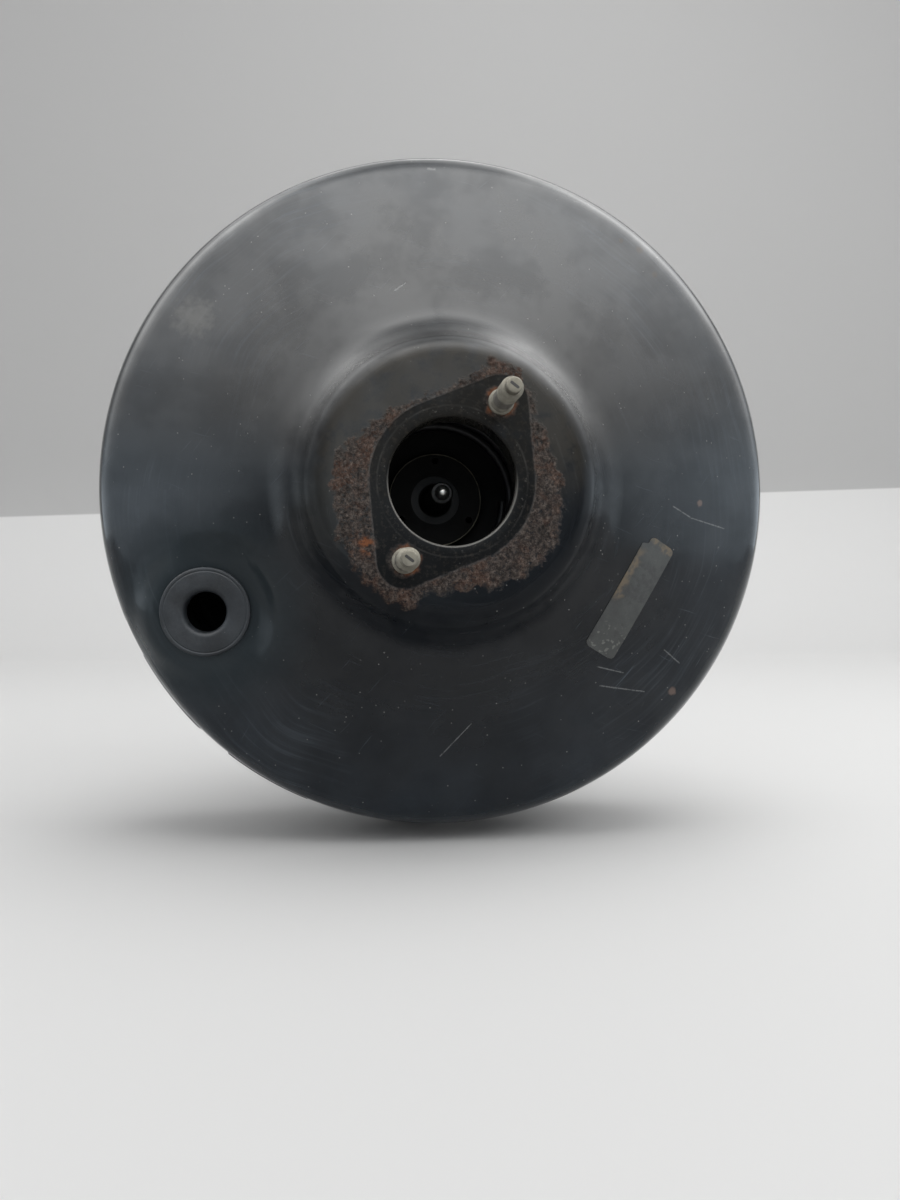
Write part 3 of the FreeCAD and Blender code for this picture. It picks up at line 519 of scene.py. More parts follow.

# %% [markdown]
# ## Gloss black paint
# The shells are dipped in gloss black paint. The paint itself is nearly black with a blue tinge and
# a sharp skin, which is a coat over a duller base. Everything that makes it look old is a mask:
# scuffs raise the roughness, a film of dust lightens it, and round the flange footprint the paint
# has turned to rust. On the hub's face a grey-brown film of grime takes the coat off; it is graded
# lighter toward the top, which is painted light from above. Near the grommet the coat is thinned
# and a flat blue-grey colour is laid over the paint. Masks only mix colours, roughness and the
# weight of the coat. The same function makes the paint of the rear shell, without the marks that
# sit at one place of the front.

# %% Places of the marks on the front shell
SCRATCHES = [
    ((90.1, -6.3), (98.4, -10.6), 0.42),
    ((98.4, -10.6), (113.9, -14.4), 0.42),
    ((88.4, -63.3), (95.8, -69.0), 0.4),
    ((61.3, -77.2), (80.8, -80.3), 0.4),
    ((59.5, -69.4), (70.9, -72.2), 0.36),
    ((-2.1, -104.2), (9.6, -91.2), 0.34),
    ((-6.0, 126.6), (-3.8, 126.5), 1.0),
    ((-20.0, 73.5), (-16.0, 76.6), 0.5),
]
DARK_MARKS = [((79.4, 98.1), 2.2), ((85.3, 87.9), 2.0), ((71.5, 101.0), 1.4)]
BROWN_CHIPS = [((102.4, -4.6), 1.6), ((93.5, -80.6), 2.1)]
CRUST_WIDEST = 14.0
CRUST_REACH = [(-180, 12.5), (-150, 11.0), (-128, 5.0), (-92, 4.5), (-75, 9.0), (-48, 12.5), (-25, 12.0),
               (0, 9.0), (22, 5.5), (42, 1.2), (58, 1.6), (70, 4.2), (88, 1.2), (122, 0.8), (145, 4.0),
               (165, 11.0), (180, 12.5)]
STUDS_AT = [(s * STUD_CIRCLE * math.cos(STUD_ANGLE), s * STUD_CIRCLE * math.sin(STUD_ANGLE)) for s in (1, -1)]
print("studs at", [tuple(round(v, 1) for v in at) for at in STUDS_AT])

# %% Helpers: marks with a place
def spot(t, position, x, z, inner, outer, ragged=0.0):
    """Round mask about a place on the face, with an edge broken by noise."""
    gap = t.vector_math("DISTANCE", position, (x, 0.0, z), 1)
    if ragged:
        gap = t.plus(gap, t.ragged(position, 0.35, 4.0, ragged))
    return t.map(gap, outer, inner)


def scratched(t, flat, colour):
    """Paint colour with the scratches, dark marks and brown chips of the photograph."""
    for start, end, width in SCRATCHES:
        line = t.group(scratch_group, {"Position": flat, "From": (start[0], 0.0, start[1]),
                                       "To": (end[0], 0.0, end[1]), "Width": width})["Mask"]
        colour = t.over(colour, line, 0.45, (0.3, 0.31, 0.31))
    for (x, z), reach in DARK_MARKS:
        colour = t.mix(spot(t, flat, x, z, reach * 0.3, reach, 2.0), colour, (0.02, 0.014, 0.01))
    for (x, z), reach in BROWN_CHIPS:
        colour = t.mix(spot(t, flat, x, z, reach * 0.4, reach, 2.5), colour, (0.12, 0.085, 0.072))
    return colour


# %% Helpers: footprint and rust
def footprint_marks(t, place, parts, away, front, colour):
    """Paint colour with the patch that the flange kept clean and a painted highlight on the lower lip of the
    opening, and the patch.
    """
    radius, flat = place["Radius"], place["Flat"]
    clean = t.minus(1.0, t.map(away, -0.9, 0.2))
    flaky = t.times(clean, t.map(t.noise(flat, 0.5, 6.0, 0.72), 0.5, 0.66))
    lip_line = t.times(t.band(away, -0.1, 0.55, 0.15), t.map(t.noise(flat, 0.2, 3.0), 0.36, 0.52), front)
    ring_line = t.times(t.band(radius, 27.3, 0.5, 0.1),
                        t.map(t.noise(flat, 0.07, 5.0, 0.7), 0.36, 0.7, 0.0, 0.45))
    flakes = t.times(t.band(radius, 26.2, 2.4, 0.4), t.map(t.noise(flat, 0.7, 5.0, 0.7), 0.58, 0.66))
    # A pale line on the lower lip of the opening: a painted highlight.
    lip_highlight = t.times(t.map(radius, 24.0, 23.5), t.map(parts["Z"], 6.0, -8.0),
                        t.map(parts["Y"], HUB_Y + 4.5, HUB_Y + 2.0))
    colour = t.over(colour, clean, 0.75, (0.006, 0.006, 0.0058))
    colour = t.over(colour, flaky, 0.35, (0.06, 0.052, 0.042))
    colour = t.over(colour, lip_line, 0.3, (0.16, 0.15, 0.14))
    colour = t.over(colour, t.most(ring_line, flakes), 0.5, (0.14, 0.135, 0.125))
    return t.mix(lip_highlight, colour, (0.2, 0.195, 0.18)), clean


def crust_mask(t, place, away, front):
    """Ragged band round the footprint where the paint has gone. Its width goes by the bearing."""
    flat = place["Flat"]
    rag = t.ragged(flat, 0.16, 6.0, 16.0, 0.65)
    reach = t.ramp(t.map(place["Bearing"], -math.pi, math.pi, smooth=False),
                   [(degrees / 360 + 0.5, grey(width / CRUST_WIDEST)) for degrees, width in CRUST_REACH])
    past = t.minus(t.plus(away, rag), t.times(reach, CRUST_WIDEST))
    inner = t.map(t.plus(away, t.times(rag, 0.12)), -1.0, 0.4)
    eaten = t.map(t.noise(flat, 0.8, 5.0, 0.7), 0.36, 0.5)
    return t.times(t.map(past, 1.2, -1.2), inner, front, eaten)


def rust_marks(t, position, place, away, front):
    """Mask of all rust on the hub, and the colour and height of the rust."""
    flat = place["Flat"]
    halo = t.most(*[spot(t, flat, x, z, 4.8, 6.9, 4.0) for x, z in STUDS_AT])
    orange = spot(t, flat, -30.2, -23.1, 1.0, 4.2, 4.0)
    streak = spot(t, flat, 14.3, 43.0, 0.6, 3.0, 3.0)
    rusty = t.most(crust_mask(t, place, away, front), t.times(halo, 0.7), orange, streak)
    fresh = t.most(orange, t.times(halo, 0.5))
    return rusty, t.group(rust_group, {"Position": position, "Fresh": t.line(fresh, 1.8, 0.14)})


# %% Material: black paint
def black_paint(name, marks):
    """Gloss black paint, with the marks of the front shell if they are wanted."""
    material, t, shader = new_material(name)
    position = t.object_position()
    parts = t.separate(position)
    place = t.group(polar_group, {"Position": position})
    radius, flat = place["Radius"], place["Flat"]
    scuffs = t.group(scuff_group, {"Position": position, "Spacing": 1.6, "Amount": 0.8})["Mask"]
    film = t.group(dust_group, {"Position": position, "Amount": 0.55})["Film"]
    specks = t.group(dust_group, {"Position": position, "Amount": 0.9})["Specks"]
    settled = t.times(t.map(radius, 68.0, 132.0, 0.15, 1.0), t.line(film, 0.7, 0.3))
    colour = t.over((0.002, 0.0027, 0.004), settled, 0.2, (0.078, 0.118, 0.16))
    colour = t.over(colour, scuffs, t.map(radius, 60.0, 120.0, 0.025, 0.1), (0.24, 0.29, 0.35))
    hairs = t.most(*[t.group(hairline_group, {"Position": flat, "Turn": turn, "Amount": amount})["Mask"]
                     for turn, amount in ((0.9, 0.5), (-0.35, 0.4))])
    handled = t.most(t.map(t.noise(flat, 0.02, 3.0), 0.4, 0.62, 0.1, 0.5),
                     spot(t, flat, 88.0, -52.0, 20.0, 66.0))
    colour = t.over(colour, t.times(hairs, handled), 0.45, (0.2, 0.24, 0.29))
    colour = t.over(colour, specks, 0.55, (0.42, 0.42, 0.4))
    hub_edge = t.band(radius, HUB_FOOT - 4.0, 11.0, 5.0)
    dulled = t.times(hub_edge, t.map(parts["Z"], 46.0, 12.0, 0.1, 0.68))
    wiped = t.map(t.noise(position, 0.04, 6.0, 0.62), 0.42, 0.62)
    by_grommet = spot(t, flat, GROMMET_X, GROMMET_Z, 22.0, 46.0, 8.0)
    colour = t.over(colour, by_grommet, 0.7, (0.034, 0.043, 0.048))
    coat = t.minus(t.line(wiped, -0.22, 1.0), dulled)
    coat = t.minus(coat, t.times(by_grommet, 0.82), clamp=True)
    coat_rough = t.line(hub_edge, 0.16, t.line(scuffs, 0.2, 0.1))
    rough = t.line(scuffs, 0.16, 0.2)
    height = t.times(t.noise(position, 0.06, 3.0), 0.5)
    if marks:
        colour = scratched(t, flat, colour)
        dusty = spot(t, flat, -43.0, -10.0, 4.0, 25.0, 12.0)
        # A grey-brown film of grime on the hub's face, graded lighter toward the top: dirt, with painted
        # light from above.
        grime_and_top_light = t.times(t.map(radius, 52.0, 46.0), t.map(t.noise(flat, 0.09, 5.0, 0.65), 0.3, 0.55),
                        t.map(parts["Z"], -14.0, 18.0))
        blotch = spot(t, flat, -96.0, 65.0, 1.0, 11.0, 14.0)
        colour = t.over(colour, dusty, 0.35, (0.05, 0.05, 0.045))
        colour = t.over(colour, grime_and_top_light, 0.6, (0.058, 0.052, 0.042))
        colour = t.over(colour, blotch, 0.4, (0.16, 0.16, 0.15))
        coat = t.minus(coat, t.times(grime_and_top_light, 0.35), clamp=True)
        front = t.map(radius, 53.5, 50.5)
        away = t.group(footprint_group, {"Position": flat, "Turn": STUD_ANGLE})["Distance"]
        colour, clean = footprint_marks(t, place, parts, away, front, colour)
        rusty, rust = rust_marks(t, position, place, away, front)
        colour = t.mix(rusty, colour, rust["Colour"])
        rough = t.plus(rough, t.times(rusty, 0.55), clamp=True)
        coat = t.minus(coat, t.most(rusty, t.times(clean, 0.6)), clamp=True)
        height = t.plus(height, t.times(rust["Height"], rusty, 5.0))
    bump = t.node("Bump", {"Height": height, "Strength": 0.35, "Distance": 0.0004})
    t.wire(shader, {"Base Color": colour, "Roughness": rough, "Coat Weight": coat,
                    "Coat Roughness": coat_rough, "Specular IOR Level": 0.06, "Coat IOR": 1.33,
                    "Normal": bump})
    return material


paint_front = black_paint("gloss_black_paint_front", True)
paint_rear = black_paint("gloss_black_paint", False)
print("paint nodes:", len(paint_front.node_tree.nodes))

# %% [markdown]
# ## Plated and bare steel
# Zinc plate that has aged is dull, a little yellow and blotchy, with brown creeping in. Ground steel
# on the pushrod is brighter. Both are the same tree with other numbers, so one function makes them.

# %% Materials: steel
BAND_EDGE = 1.5


def steel(name, colour_a, colour_b, rough, rust_amount, metallic=1.0, band=None):
    """Steel or zinc that rusts in patches. band is (from, to, colour) along Y, a span painted darker as
    shade.
    """
    material, t, shader = new_material(name)
    position = t.object_position()
    blotch = t.map(t.noise(position, 0.22, 5.0, 0.6), 0.3, 0.7)
    rust = t.group(rust_group, {"Position": position})["Colour"]
    mask = t.times(t.map(t.noise(position, 0.3, 6.0, 0.7), 0.52, 0.68), rust_amount)
    colour = t.mix(blotch, colour_a, colour_b)
    if band:
        first, last, tint = band
        depth = t.separate(position)["Y"]
        inside = t.times(t.map(depth, first, first + BAND_EDGE), t.map(depth, last, last - BAND_EDGE))
        colour = t.over(colour, inside, 0.75, tint)
    colour = t.mix(mask, colour, rust)
    grain = t.noise(position, 2.6, 3.0, 0.6)
    roughness = t.plus(t.line(grain, 0.14, rough), t.times(mask, 0.35), clamp=True)
    bump = t.node("Bump", {"Height": grain, "Strength": 0.25, "Distance": 0.0001})
    t.wire(shader, {"Base Color": colour, "Roughness": roughness, "Normal": bump,
                    "Metallic": t.times(t.minus(1.0, mask), metallic)})
    return material


zinc = steel("dull_zinc_plate", (0.2, 0.185, 0.145), (0.13, 0.118, 0.09), 0.42, 0.55)
# The master cylinder studs are painted darker over the middle of the thread: painted shade between the
# flanks.
stud_zinc_with_shade = steel("worn_zinc_studs_thread_shade", (0.16, 0.15, 0.122), (0.1, 0.092, 0.072), 0.5, 0.25, 0.45,
                  (HUB_Y - 16.0, HUB_Y - 5.5, (0.05, 0.045, 0.04)))
inner_zinc = steel("clean_zinc_plate", (0.5, 0.49, 0.44), (0.38, 0.37, 0.33), 0.36, 0.15)
bright_steel = steel("ground_steel", (0.62, 0.61, 0.58), (0.48, 0.47, 0.44), 0.24, 0.12)
spring_steel = steel("oiled_spring_wire", (0.028, 0.028, 0.03), (0.018, 0.018, 0.019), 0.36, 0.1, 0.3)
dark_rod = steel("phosphated_rod", (0.016, 0.015, 0.014), (0.01, 0.0095, 0.009), 0.38, 0.1, 0.2)

# %% [markdown]
# ## Rubber, moulded plastic, felt and film
# Rubber that has been outdoors loses its black: it bleaches blue-grey, holds dust and keeps a low
# broad sheen. Moulded nylon and phenolic resin are smoother. Felt is matt with a fibre grain.

# %% Materials: rubber, plastics, felt
def matt(name, dark, pale, rough, grain_scale, dust=0.3, gloss=0.5, depth=0.0002):
    """Dull material with a grain, between a dark and a pale colour, under a film of dust."""
    material, t, shader = new_material(name)
    position = t.object_position()
    settled = t.group(dust_group, {"Position": position, "Amount": dust})
    cloud = t.map(t.noise(position, 0.09, 5.0, 0.6), 0.3, 0.75)
    colour = t.over(t.mix(cloud, dark, pale), settled["Film"], 0.5, (0.2, 0.205, 0.2))
    colour = t.over(colour, settled["Specks"], 0.8, (0.4, 0.4, 0.38))
    grain = t.noise(position, grain_scale, 4.0, 0.65)
    bump = t.node("Bump", {"Height": grain, "Strength": 0.4, "Distance": depth})
    t.wire(shader, {"Base Color": colour, "Roughness": t.line(cloud, 0.12, rough, clamp=True),
                    "Normal": bump, "Specular IOR Level": gloss})
    return material


grommet_rubber = matt("aged_grommet_rubber", (0.009, 0.011, 0.014), (0.02, 0.025, 0.031), 0.42, 0.8, 0.2,
                      0.22)
black_rubber = matt("black_rubber", (0.012, 0.012, 0.012), (0.024, 0.024, 0.025), 0.55, 0.7, 0.3)
nylon = matt("moulded_nylon", (0.05, 0.05, 0.053), (0.07, 0.07, 0.073), 0.4, 1.4, 0.1)
phenolic = matt("moulded_phenolic", (0.006, 0.0055, 0.005), (0.01, 0.009, 0.008), 0.5, 1.1, 0.03, 0.16)
inner_paint = matt("black_dipped_plate", (0.004, 0.004, 0.004), (0.006, 0.006, 0.006), 0.5, 1.1, 0.02, 0.2)
felt = matt("grey_felt", (0.2, 0.2, 0.18), (0.32, 0.32, 0.29), 0.9, 3.0, 0.2, depth=0.0006)

# %% [markdown]
# ## Dressing the CAD nodes that stay
# Pieces inside the housing whose CAD shape is right keep it and only get a finish. Their names come
# from the frame, so nothing here repeats a position.

# %% Dress the inner nodes
KEPT = {
    zinc: ["poppet_washer", "plunger_key"],
    inner_zinc: ["front_reinforcement_plate", "rear_reinforcement_plate", "neck_seal_retainer",
                 "poppet_retainer", "input_spring_washer"],
    bright_steel: ["valve_plunger"],
    black_rubber: ["neck_seal", "reaction_disc", "poppet_valve"],
    inner_paint: ["diaphragm_plate"],
    nylon: ["neck_bearing", "filter_cap"],
    phenolic: ["valve_body", "output_rod_retainer"],
    felt: ["air_filter"],
}
for material, names in KEPT.items():
    for name in names:
        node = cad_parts[name]
        node.data.materials.clear()
        node.data.materials.append(material)
print("dressed:", sum(len(names) for names in KEPT.values()), "inner nodes")

# %% [markdown]
# ## Outlines of pressed sheet
# Both shells are one sheet of steel pressed over a tool, so their wall is the same everywhere. The
# outer side is drawn as in the CAD source, and the inner side is the same line moved by the wall.

# %% Helper: sheet metal section
def sheet_outline(points, wall, longest=2.6):
    """Closed section of a sheet. The wall lies to the left of the line if it is positive."""
    line = divided(rounded(points), longest)
    back = []
    for i, here in enumerate(line):
        before = Vector(line[max(i - 1, 0)])
        after = Vector(line[min(i + 1, len(line) - 1)])
        way = (after - before).normalized()
        back.append((here[0] - way.y * wall, here[1] + way.x * wall))
    return line + back[::-1]


# %% [markdown]
# ## Front shell
# The hub, the shallow cone and the rolled shoulder come from one outline turned in 288 steps. Round
# the check valve the cone is pressed flat. A boolean would leave a hard seam there, so the vertices
# near the valve slide along Y to the pad instead and fade back into the cone over a few
# millimetres, as drawn steel does. Only the hole for the grommet's neck is a real cut.

# %% Front shell skin
PAD_RADIUS = 19.0
PAD_BLEND = 11.0
PAD_END_Y = FLANGE_Y - 6.0
DISC_EDGE = JOINT_RADIUS + 0.1
front_line = [(OPENING_RADIUS, HUB_Y + OPENING_LIP), (OPENING_RADIUS, HUB_Y, 1.0), (HUB_CORNER, HUB_Y, 8.0),
              (HUB_FOOT, HUB_Y + HUB_FOOT_DEPTH, 19.0), (RIM_RADIUS, cone_y(RIM_RADIUS), 12.0),
              (RIM_RADIUS, FLANGE_Y, 1.2), (DISC_EDGE, FLANGE_Y)]
front_skin = turned("front_shell_skin", sheet_outline(front_line, SHELL_WALL), 288)
slant = SHELL_WALL / math.cos(CONE_SLOPE)
moved = 0
for vertex in front_skin.data.vertices:
    x, y, z = (value / MM for value in vertex.co)
    away = math.hypot(x - GROMMET_X, z - GROMMET_Z)
    if away > PAD_RADIUS + PAD_BLEND or y > PAD_END_Y:
        continue
    share = min(1.0, max(0.0, (PAD_RADIUS + PAD_BLEND - away) / PAD_BLEND))
    share = share * share * (3 - 2 * share)
    cone = cone_y(math.hypot(x, z))
    rest = PAD_Y if y < cone + slant / 2 else PAD_Y + slant
    vertex.co.y = (y + (rest - y) * share) * MM
    moved += 1
print("front skin:", len(front_skin.data.polygons), "faces,", moved, "vertices pressed to the pad")

# %% Hole for the grommet
GROMMET_NECK = 11.5
CUT_REACH = 12
cutter = turned("cutter", [(AXIS, PAD_Y - CUT_REACH), (GROMMET_NECK, PAD_Y - CUT_REACH),
                           (GROMMET_NECK, PAD_Y + CUT_REACH), (AXIS, PAD_Y + CUT_REACH)],
                64, at=(GROMMET_X, GROMMET_Z))
cut_out(front_skin, cutter)
painted(front_skin, paint_front)
print("after the hole:", len(front_skin.data.polygons), "faces")

# %% [markdown]
# ## Crimped lugs
# The rim of the front shell is cut into sixteen lugs that are bent over the rear shell. One lug is
# modelled, with its cut ends eased, and Geometry Nodes sets it round the rim: a ring of points, an
# instance on each and a turn for each, so the count and the first bearing can be changed in one
# place.

# %% One lug
LUG_COUNT = 16
LUG_GAP = math.radians(5.5)
LUG_FIRST_GAP = math.radians(-110.0)
LUG_REACH = 6.9
EASE_DEPTH = 1.2
EASE_LENGTH = 1.6
EASE_SHARE = 0.75
lug_arc = 2 * math.pi / LUG_COUNT - LUG_GAP
lug_line = [(DISC_EDGE, FLANGE_Y), (FLANGE_RADIUS, FLANGE_Y, 2.5), (FLANGE_RADIUS, LUG_BACK_Y, 2.5),
            (FLANGE_RADIUS - LUG_REACH, LUG_BACK_Y)]


def ease_ends(r, y, angle):
    """Pull the sharp ends of the bent flap inward, as shears and bending leave them."""
    from_end = (lug_arc / 2 - abs(angle)) * FLANGE_RADIUS
    outside = max(0.0, r - (FLANGE_RADIUS - EASE_DEPTH))
    return r - outside * EASE_SHARE * max(0.0, 1 - from_end / EASE_LENGTH) ** 2


one_lug = turned("one_lug", sheet_outline(lug_line, SHELL_WALL), 26, arc=(-lug_arc / 2, lug_arc),
                 swell=ease_ends)

# %% Ring of lugs by Geometry Nodes
ring_tree, g, given, result = new_group(
    "Ring of pieces", [("Piece", "o", None), ("Count", "i", 16), ("First Bearing", "f", 0.0),
                       ("Finish", "m", None)], [("Geometry", "g")], "GeometryNodeTree")
places = g.node("GeometryNodeMeshLine", {"Count": given["Count"], "Offset": (0, 0, 0)})
piece = g.node("GeometryNodeObjectInfo", {"Object": given["Piece"]}, "Geometry")
step = g.math("DIVIDE", 2 * math.pi, given["Count"])
bearing = g.math("MULTIPLY_ADD", g.node("GeometryNodeInputIndex"), step, given["First Bearing"])
copies = g.node("GeometryNodeInstanceOnPoints", {"Points": places, "Instance": piece,
                                                 "Rotation": g.node("CombineXYZ", {"Y": bearing})})
solid = g.node("GeometryNodeRealizeInstances", {0: copies})
finished = g.node("GeometryNodeSetMaterial", {"Geometry": solid, "Material": given["Finish"]})
g.wire(result, {"Geometry": finished})


def by_nodes(name, tree, values):
    """New piece made by a Geometry Nodes tree, baked to a mesh. Values are set by socket name."""
    piece = added(name, bpy.data.meshes.new(name))
    modifier = piece.modifiers.new("nodes", "NODES")
    modifier.node_group = tree
    for item in tree.interface.items_tree:
        if item.item_type == "SOCKET" and item.in_out == "INPUT" and item.name in values:
            modifier[item.identifier] = values[item.name]
    apply_modifiers(piece)
    smoothed(piece.data)
    print(name, len(piece.data.polygons), "faces")
    return piece


lugs = by_nodes("crimp_lugs", ring_tree, {"Piece": one_lug, "Count": LUG_COUNT, "Finish": paint_front,
                                          "First Bearing": -LUG_FIRST_GAP - math.pi / LUG_COUNT})
bpy.data.objects.remove(one_lug)
for piece in (front_skin, lugs):
    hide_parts("front_shell")
    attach(piece, "housing")

# %% [markdown]
# ## Rear shell
# The rear shell is shallower: a flat for the bulkhead, a step, a rounded shoulder and a neck that
# guides the valve body. It is the same kind of turned sheet, in the same paint without the marks.

# %% Rear shell skin
NECK_RADIUS = 28.0
NECK_LENGTH = 27.0
NECK_LIP_RADIUS = 24.2
REAR_RADIUS = 131.0
REAR_EDGE_Y = LUG_BACK_Y - SHELL_WALL
rear_line = [(NECK_LIP_RADIUS, NECK_LENGTH), (NECK_RADIUS, NECK_LENGTH, 2.5), (NECK_RADIUS, 0.0, 2.0),
             (66.0, 0.0, 8.0), (71.0, -3.0, 8.0), (REAR_RADIUS, -6.0, 12.0), (REAR_RADIUS, REAR_EDGE_Y, 1.2),
             (JOINT_RADIUS, REAR_EDGE_Y)]
rear_skin = turned("rear_shell_skin", sheet_outline(rear_line, -SHELL_WALL, 6.0), 192, material=paint_rear)
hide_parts("rear_shell")
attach(rear_skin, "housing")
print("rear skin:", len(rear_skin.data.polygons), "faces")

# %% [markdown]
# ## Studs
# A thread is a helix, so its crest moves along Y as the bearing turns. The turning helper takes a
# swell function for this: each row of the section is moved in or out by where it stands in the
# pitch. Eight rows to a pitch are enough for the flanks to catch light. The free end of the master
# cylinder studs is a dog point, a short plain pin with a punched bar across it.

# %% Helper: threaded shank
THREAD_PITCH = 1.25
THREAD_DEPTH = 0.62
THREAD_ROWS = 8
PLAIN_BELOW = 2.9
FLANK_SLOPE = 2.3


def thread_rows(y0, y1, radius, pitch=THREAD_PITCH):
    count = int(abs(y1 - y0) / pitch * THREAD_ROWS)
    return [(radius, y0 + (y1 - y0) * k / count) for k in range(count + 1)]


def threaded(first, last, pitch=THREAD_PITCH, depth=THREAD_DEPTH):
    """Swell function with a helical groove between the depths first and last."""
    def swell(r, y, angle):
        if r < PLAIN_BELOW or not first <= y <= last:
            return r
        phase = (y / pitch - angle / (2 * math.pi)) % 1.0
        fade = min(1.0, (y - first) / pitch, (last - y) / pitch)
        return r - depth * fade * min(1.0, FLANK_SLOPE * abs(phase - 0.5))
    return swell


# %% Master cylinder studs
STUD_RADIUS = 4.0
HEAD_RADIUS = 7.0
COLLAR_RADIUS = 4.7
POINT_RADIUS = 2.8
STUD_COLLAR_Y = HUB_Y - 2.0
DOG_Y = STUD_TIP_Y + 4.0
TIP_FACE_Y = STUD_TIP_Y + 0.06
head = [(AXIS, HUB_Y + 7), (HEAD_RADIUS, HUB_Y + 7), (HEAD_RADIUS, HUB_Y + 4.5), (COLLAR_RADIUS, HUB_Y + 4.5),
        (COLLAR_RADIUS, STUD_COLLAR_Y + 0.5), (4.2, STUD_COLLAR_Y)]
shank = thread_rows(STUD_COLLAR_Y - 0.1, DOG_Y + 1.0, STUD_RADIUS)
tip = rounded([(3.1, DOG_Y), (POINT_RADIUS, DOG_Y - 0.1), (POINT_RADIUS, TIP_FACE_Y, 0.6),
               (AXIS, TIP_FACE_Y)], 15)
stud_thread = threaded(DOG_Y + 0.9, STUD_COLLAR_Y - 0.2)
stud_set = [turned("stud", head + shank + tip, 40, closed=False, at=at, swell=stud_thread) for at in STUDS_AT]
studs = joined("master_cylinder_stud_pair", stud_set, stud_zinc_with_shade)
print("studs:", len(studs.data.polygons), "faces")

# %% Bar punched across each stud's point, drawn as painted shade
BAR_TURN = math.radians(-37)
BAR_HALF_STRETCH = 1.3
BAR_TOP_Y = STUD_TIP_Y + 0.02
BAR_FOOT_Y = STUD_TIP_Y + 0.3
bars = []
for x, z in STUDS_AT:
    bar = turned("bar", [(AXIS, BAR_TOP_Y), (0.5, BAR_TOP_Y), (0.55, BAR_FOOT_Y), (AXIS, BAR_FOOT_Y)], 24)
    for vertex in bar.data.vertices:
        along, across = vertex.co.x, vertex.co.z
        if abs(along) > 1e-6:
            along += math.copysign(BAR_HALF_STRETCH * MM, along)
        vertex.co.x = x * MM + along * math.cos(BAR_TURN) - across * math.sin(BAR_TURN)
        vertex.co.z = z * MM + along * math.sin(BAR_TURN) + across * math.cos(BAR_TURN)
    bars.append(bar)
# Each bar is a dark patch almost flush with the point: painted shade of the punched recess.
bar_shade_pair = joined("stud_point_bars", bars, dark_rod)
for piece in (studs, bar_shade_pair):
    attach(piece, "housing")
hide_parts("master_cylinder_studs")

# %% Bulkhead studs
BULKHEAD_X = 40.0
BULKHEAD_Z = 30.0
head = [(AXIS, -8.5), (7.0, -8.5), (7.5, -8.0), (7.5, -5.0), (4.4, -5.0), (4.4, 0.0)]
shank = thread_rows(0.1, 23.0, STUD_RADIUS)
stud_set = [turned("stud", head + shank + [(3.2, 24.0), (AXIS, 24.0)], 32, closed=False,
                   at=(sx * BULKHEAD_X, sz * BULKHEAD_Z), swell=threaded(0.05, 23.2))
            for sx in (1, -1) for sz in (1, -1)]
rear_studs = joined("bulkhead_stud_set", stud_set, zinc)
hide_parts("bulkhead_studs")
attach(rear_studs, "housing")

# %% [markdown]
# ## Check valve grommet
# The grommet is a moulded rubber ring with a flange on each side of the sheet. It has a flat face,
# a small bead round its edge from the mould and a rounded entry for the valve's spigot. It is one
# turned section, since rubber parts like this have no flats.

# %% Grommet
GROMMET_HOLE = 7.7
front, seat, back = GROMMET_FACE_Y, PAD_Y + 0.02, PAD_Y + slant
grommet_line = [
    (GROMMET_HOLE, front, 2.0), (GROMMET_RADIUS - 1.9, front, 0.25),
    (GROMMET_RADIUS - 1.5, front + 0.22, 0.25), (GROMMET_RADIUS - 1.1, front + 0.02, 0.3),
    (GROMMET_RADIUS, front + 0.1, 0.7), (GROMMET_RADIUS, seat), (GROMMET_NECK, seat), (GROMMET_NECK, back),
    (14.5, back, 0.6), (12.0, back + 3.0, 0.8), (GROMMET_HOLE, back + 3.0, 0.8)]
grommet = turned("grommet_skin", rounded(grommet_line, 18, closed=True), 96, at=(GROMMET_X, GROMMET_Z),
                 material=grommet_rubber)
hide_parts("check_valve_grommet")
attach(grommet, "housing")
print("grommet:", len(grommet.data.polygons), "faces")

# %% [markdown]
# ## Label
# The label is a strip of film stuck on the cone, so it bends with it. Its grid is laid out flat,
# with rounded corners and a torn notch at one end, and each vertex then drops onto the cone. The
# print has worn off: only a brown glue stain, a few creases and a pale film are left, and it stays
# bare here. The creases have no shape of their own; their shade is painted in as dark patches.

# %% Label film
film, t, shader = new_material("bare_label_film")
position = t.object_position()
label_bearing = math.atan2(LABEL_Z, LABEL_X)
OUTWARD = (math.cos(label_bearing), 0.0, math.sin(label_bearing))
SIDEWAYS = (-math.sin(label_bearing), 0.0, math.cos(label_bearing))
local = t.vector_math("SUBTRACT", position, (LABEL_X, 0.0, LABEL_Z))
outward = t.vector_math("DOT_PRODUCT", local, OUTWARD, 1)
sideways = t.vector_math("DOT_PRODUCT", local, SIDEWAYS, 1)
cloud = t.map(t.noise(position, 0.13, 6.0, 0.65), 0.3, 0.72)
fibre = t.noise(position, 1.4, 5.0, 0.7)
torn = t.band(sideways, 7.0, 13.0, 8.0)
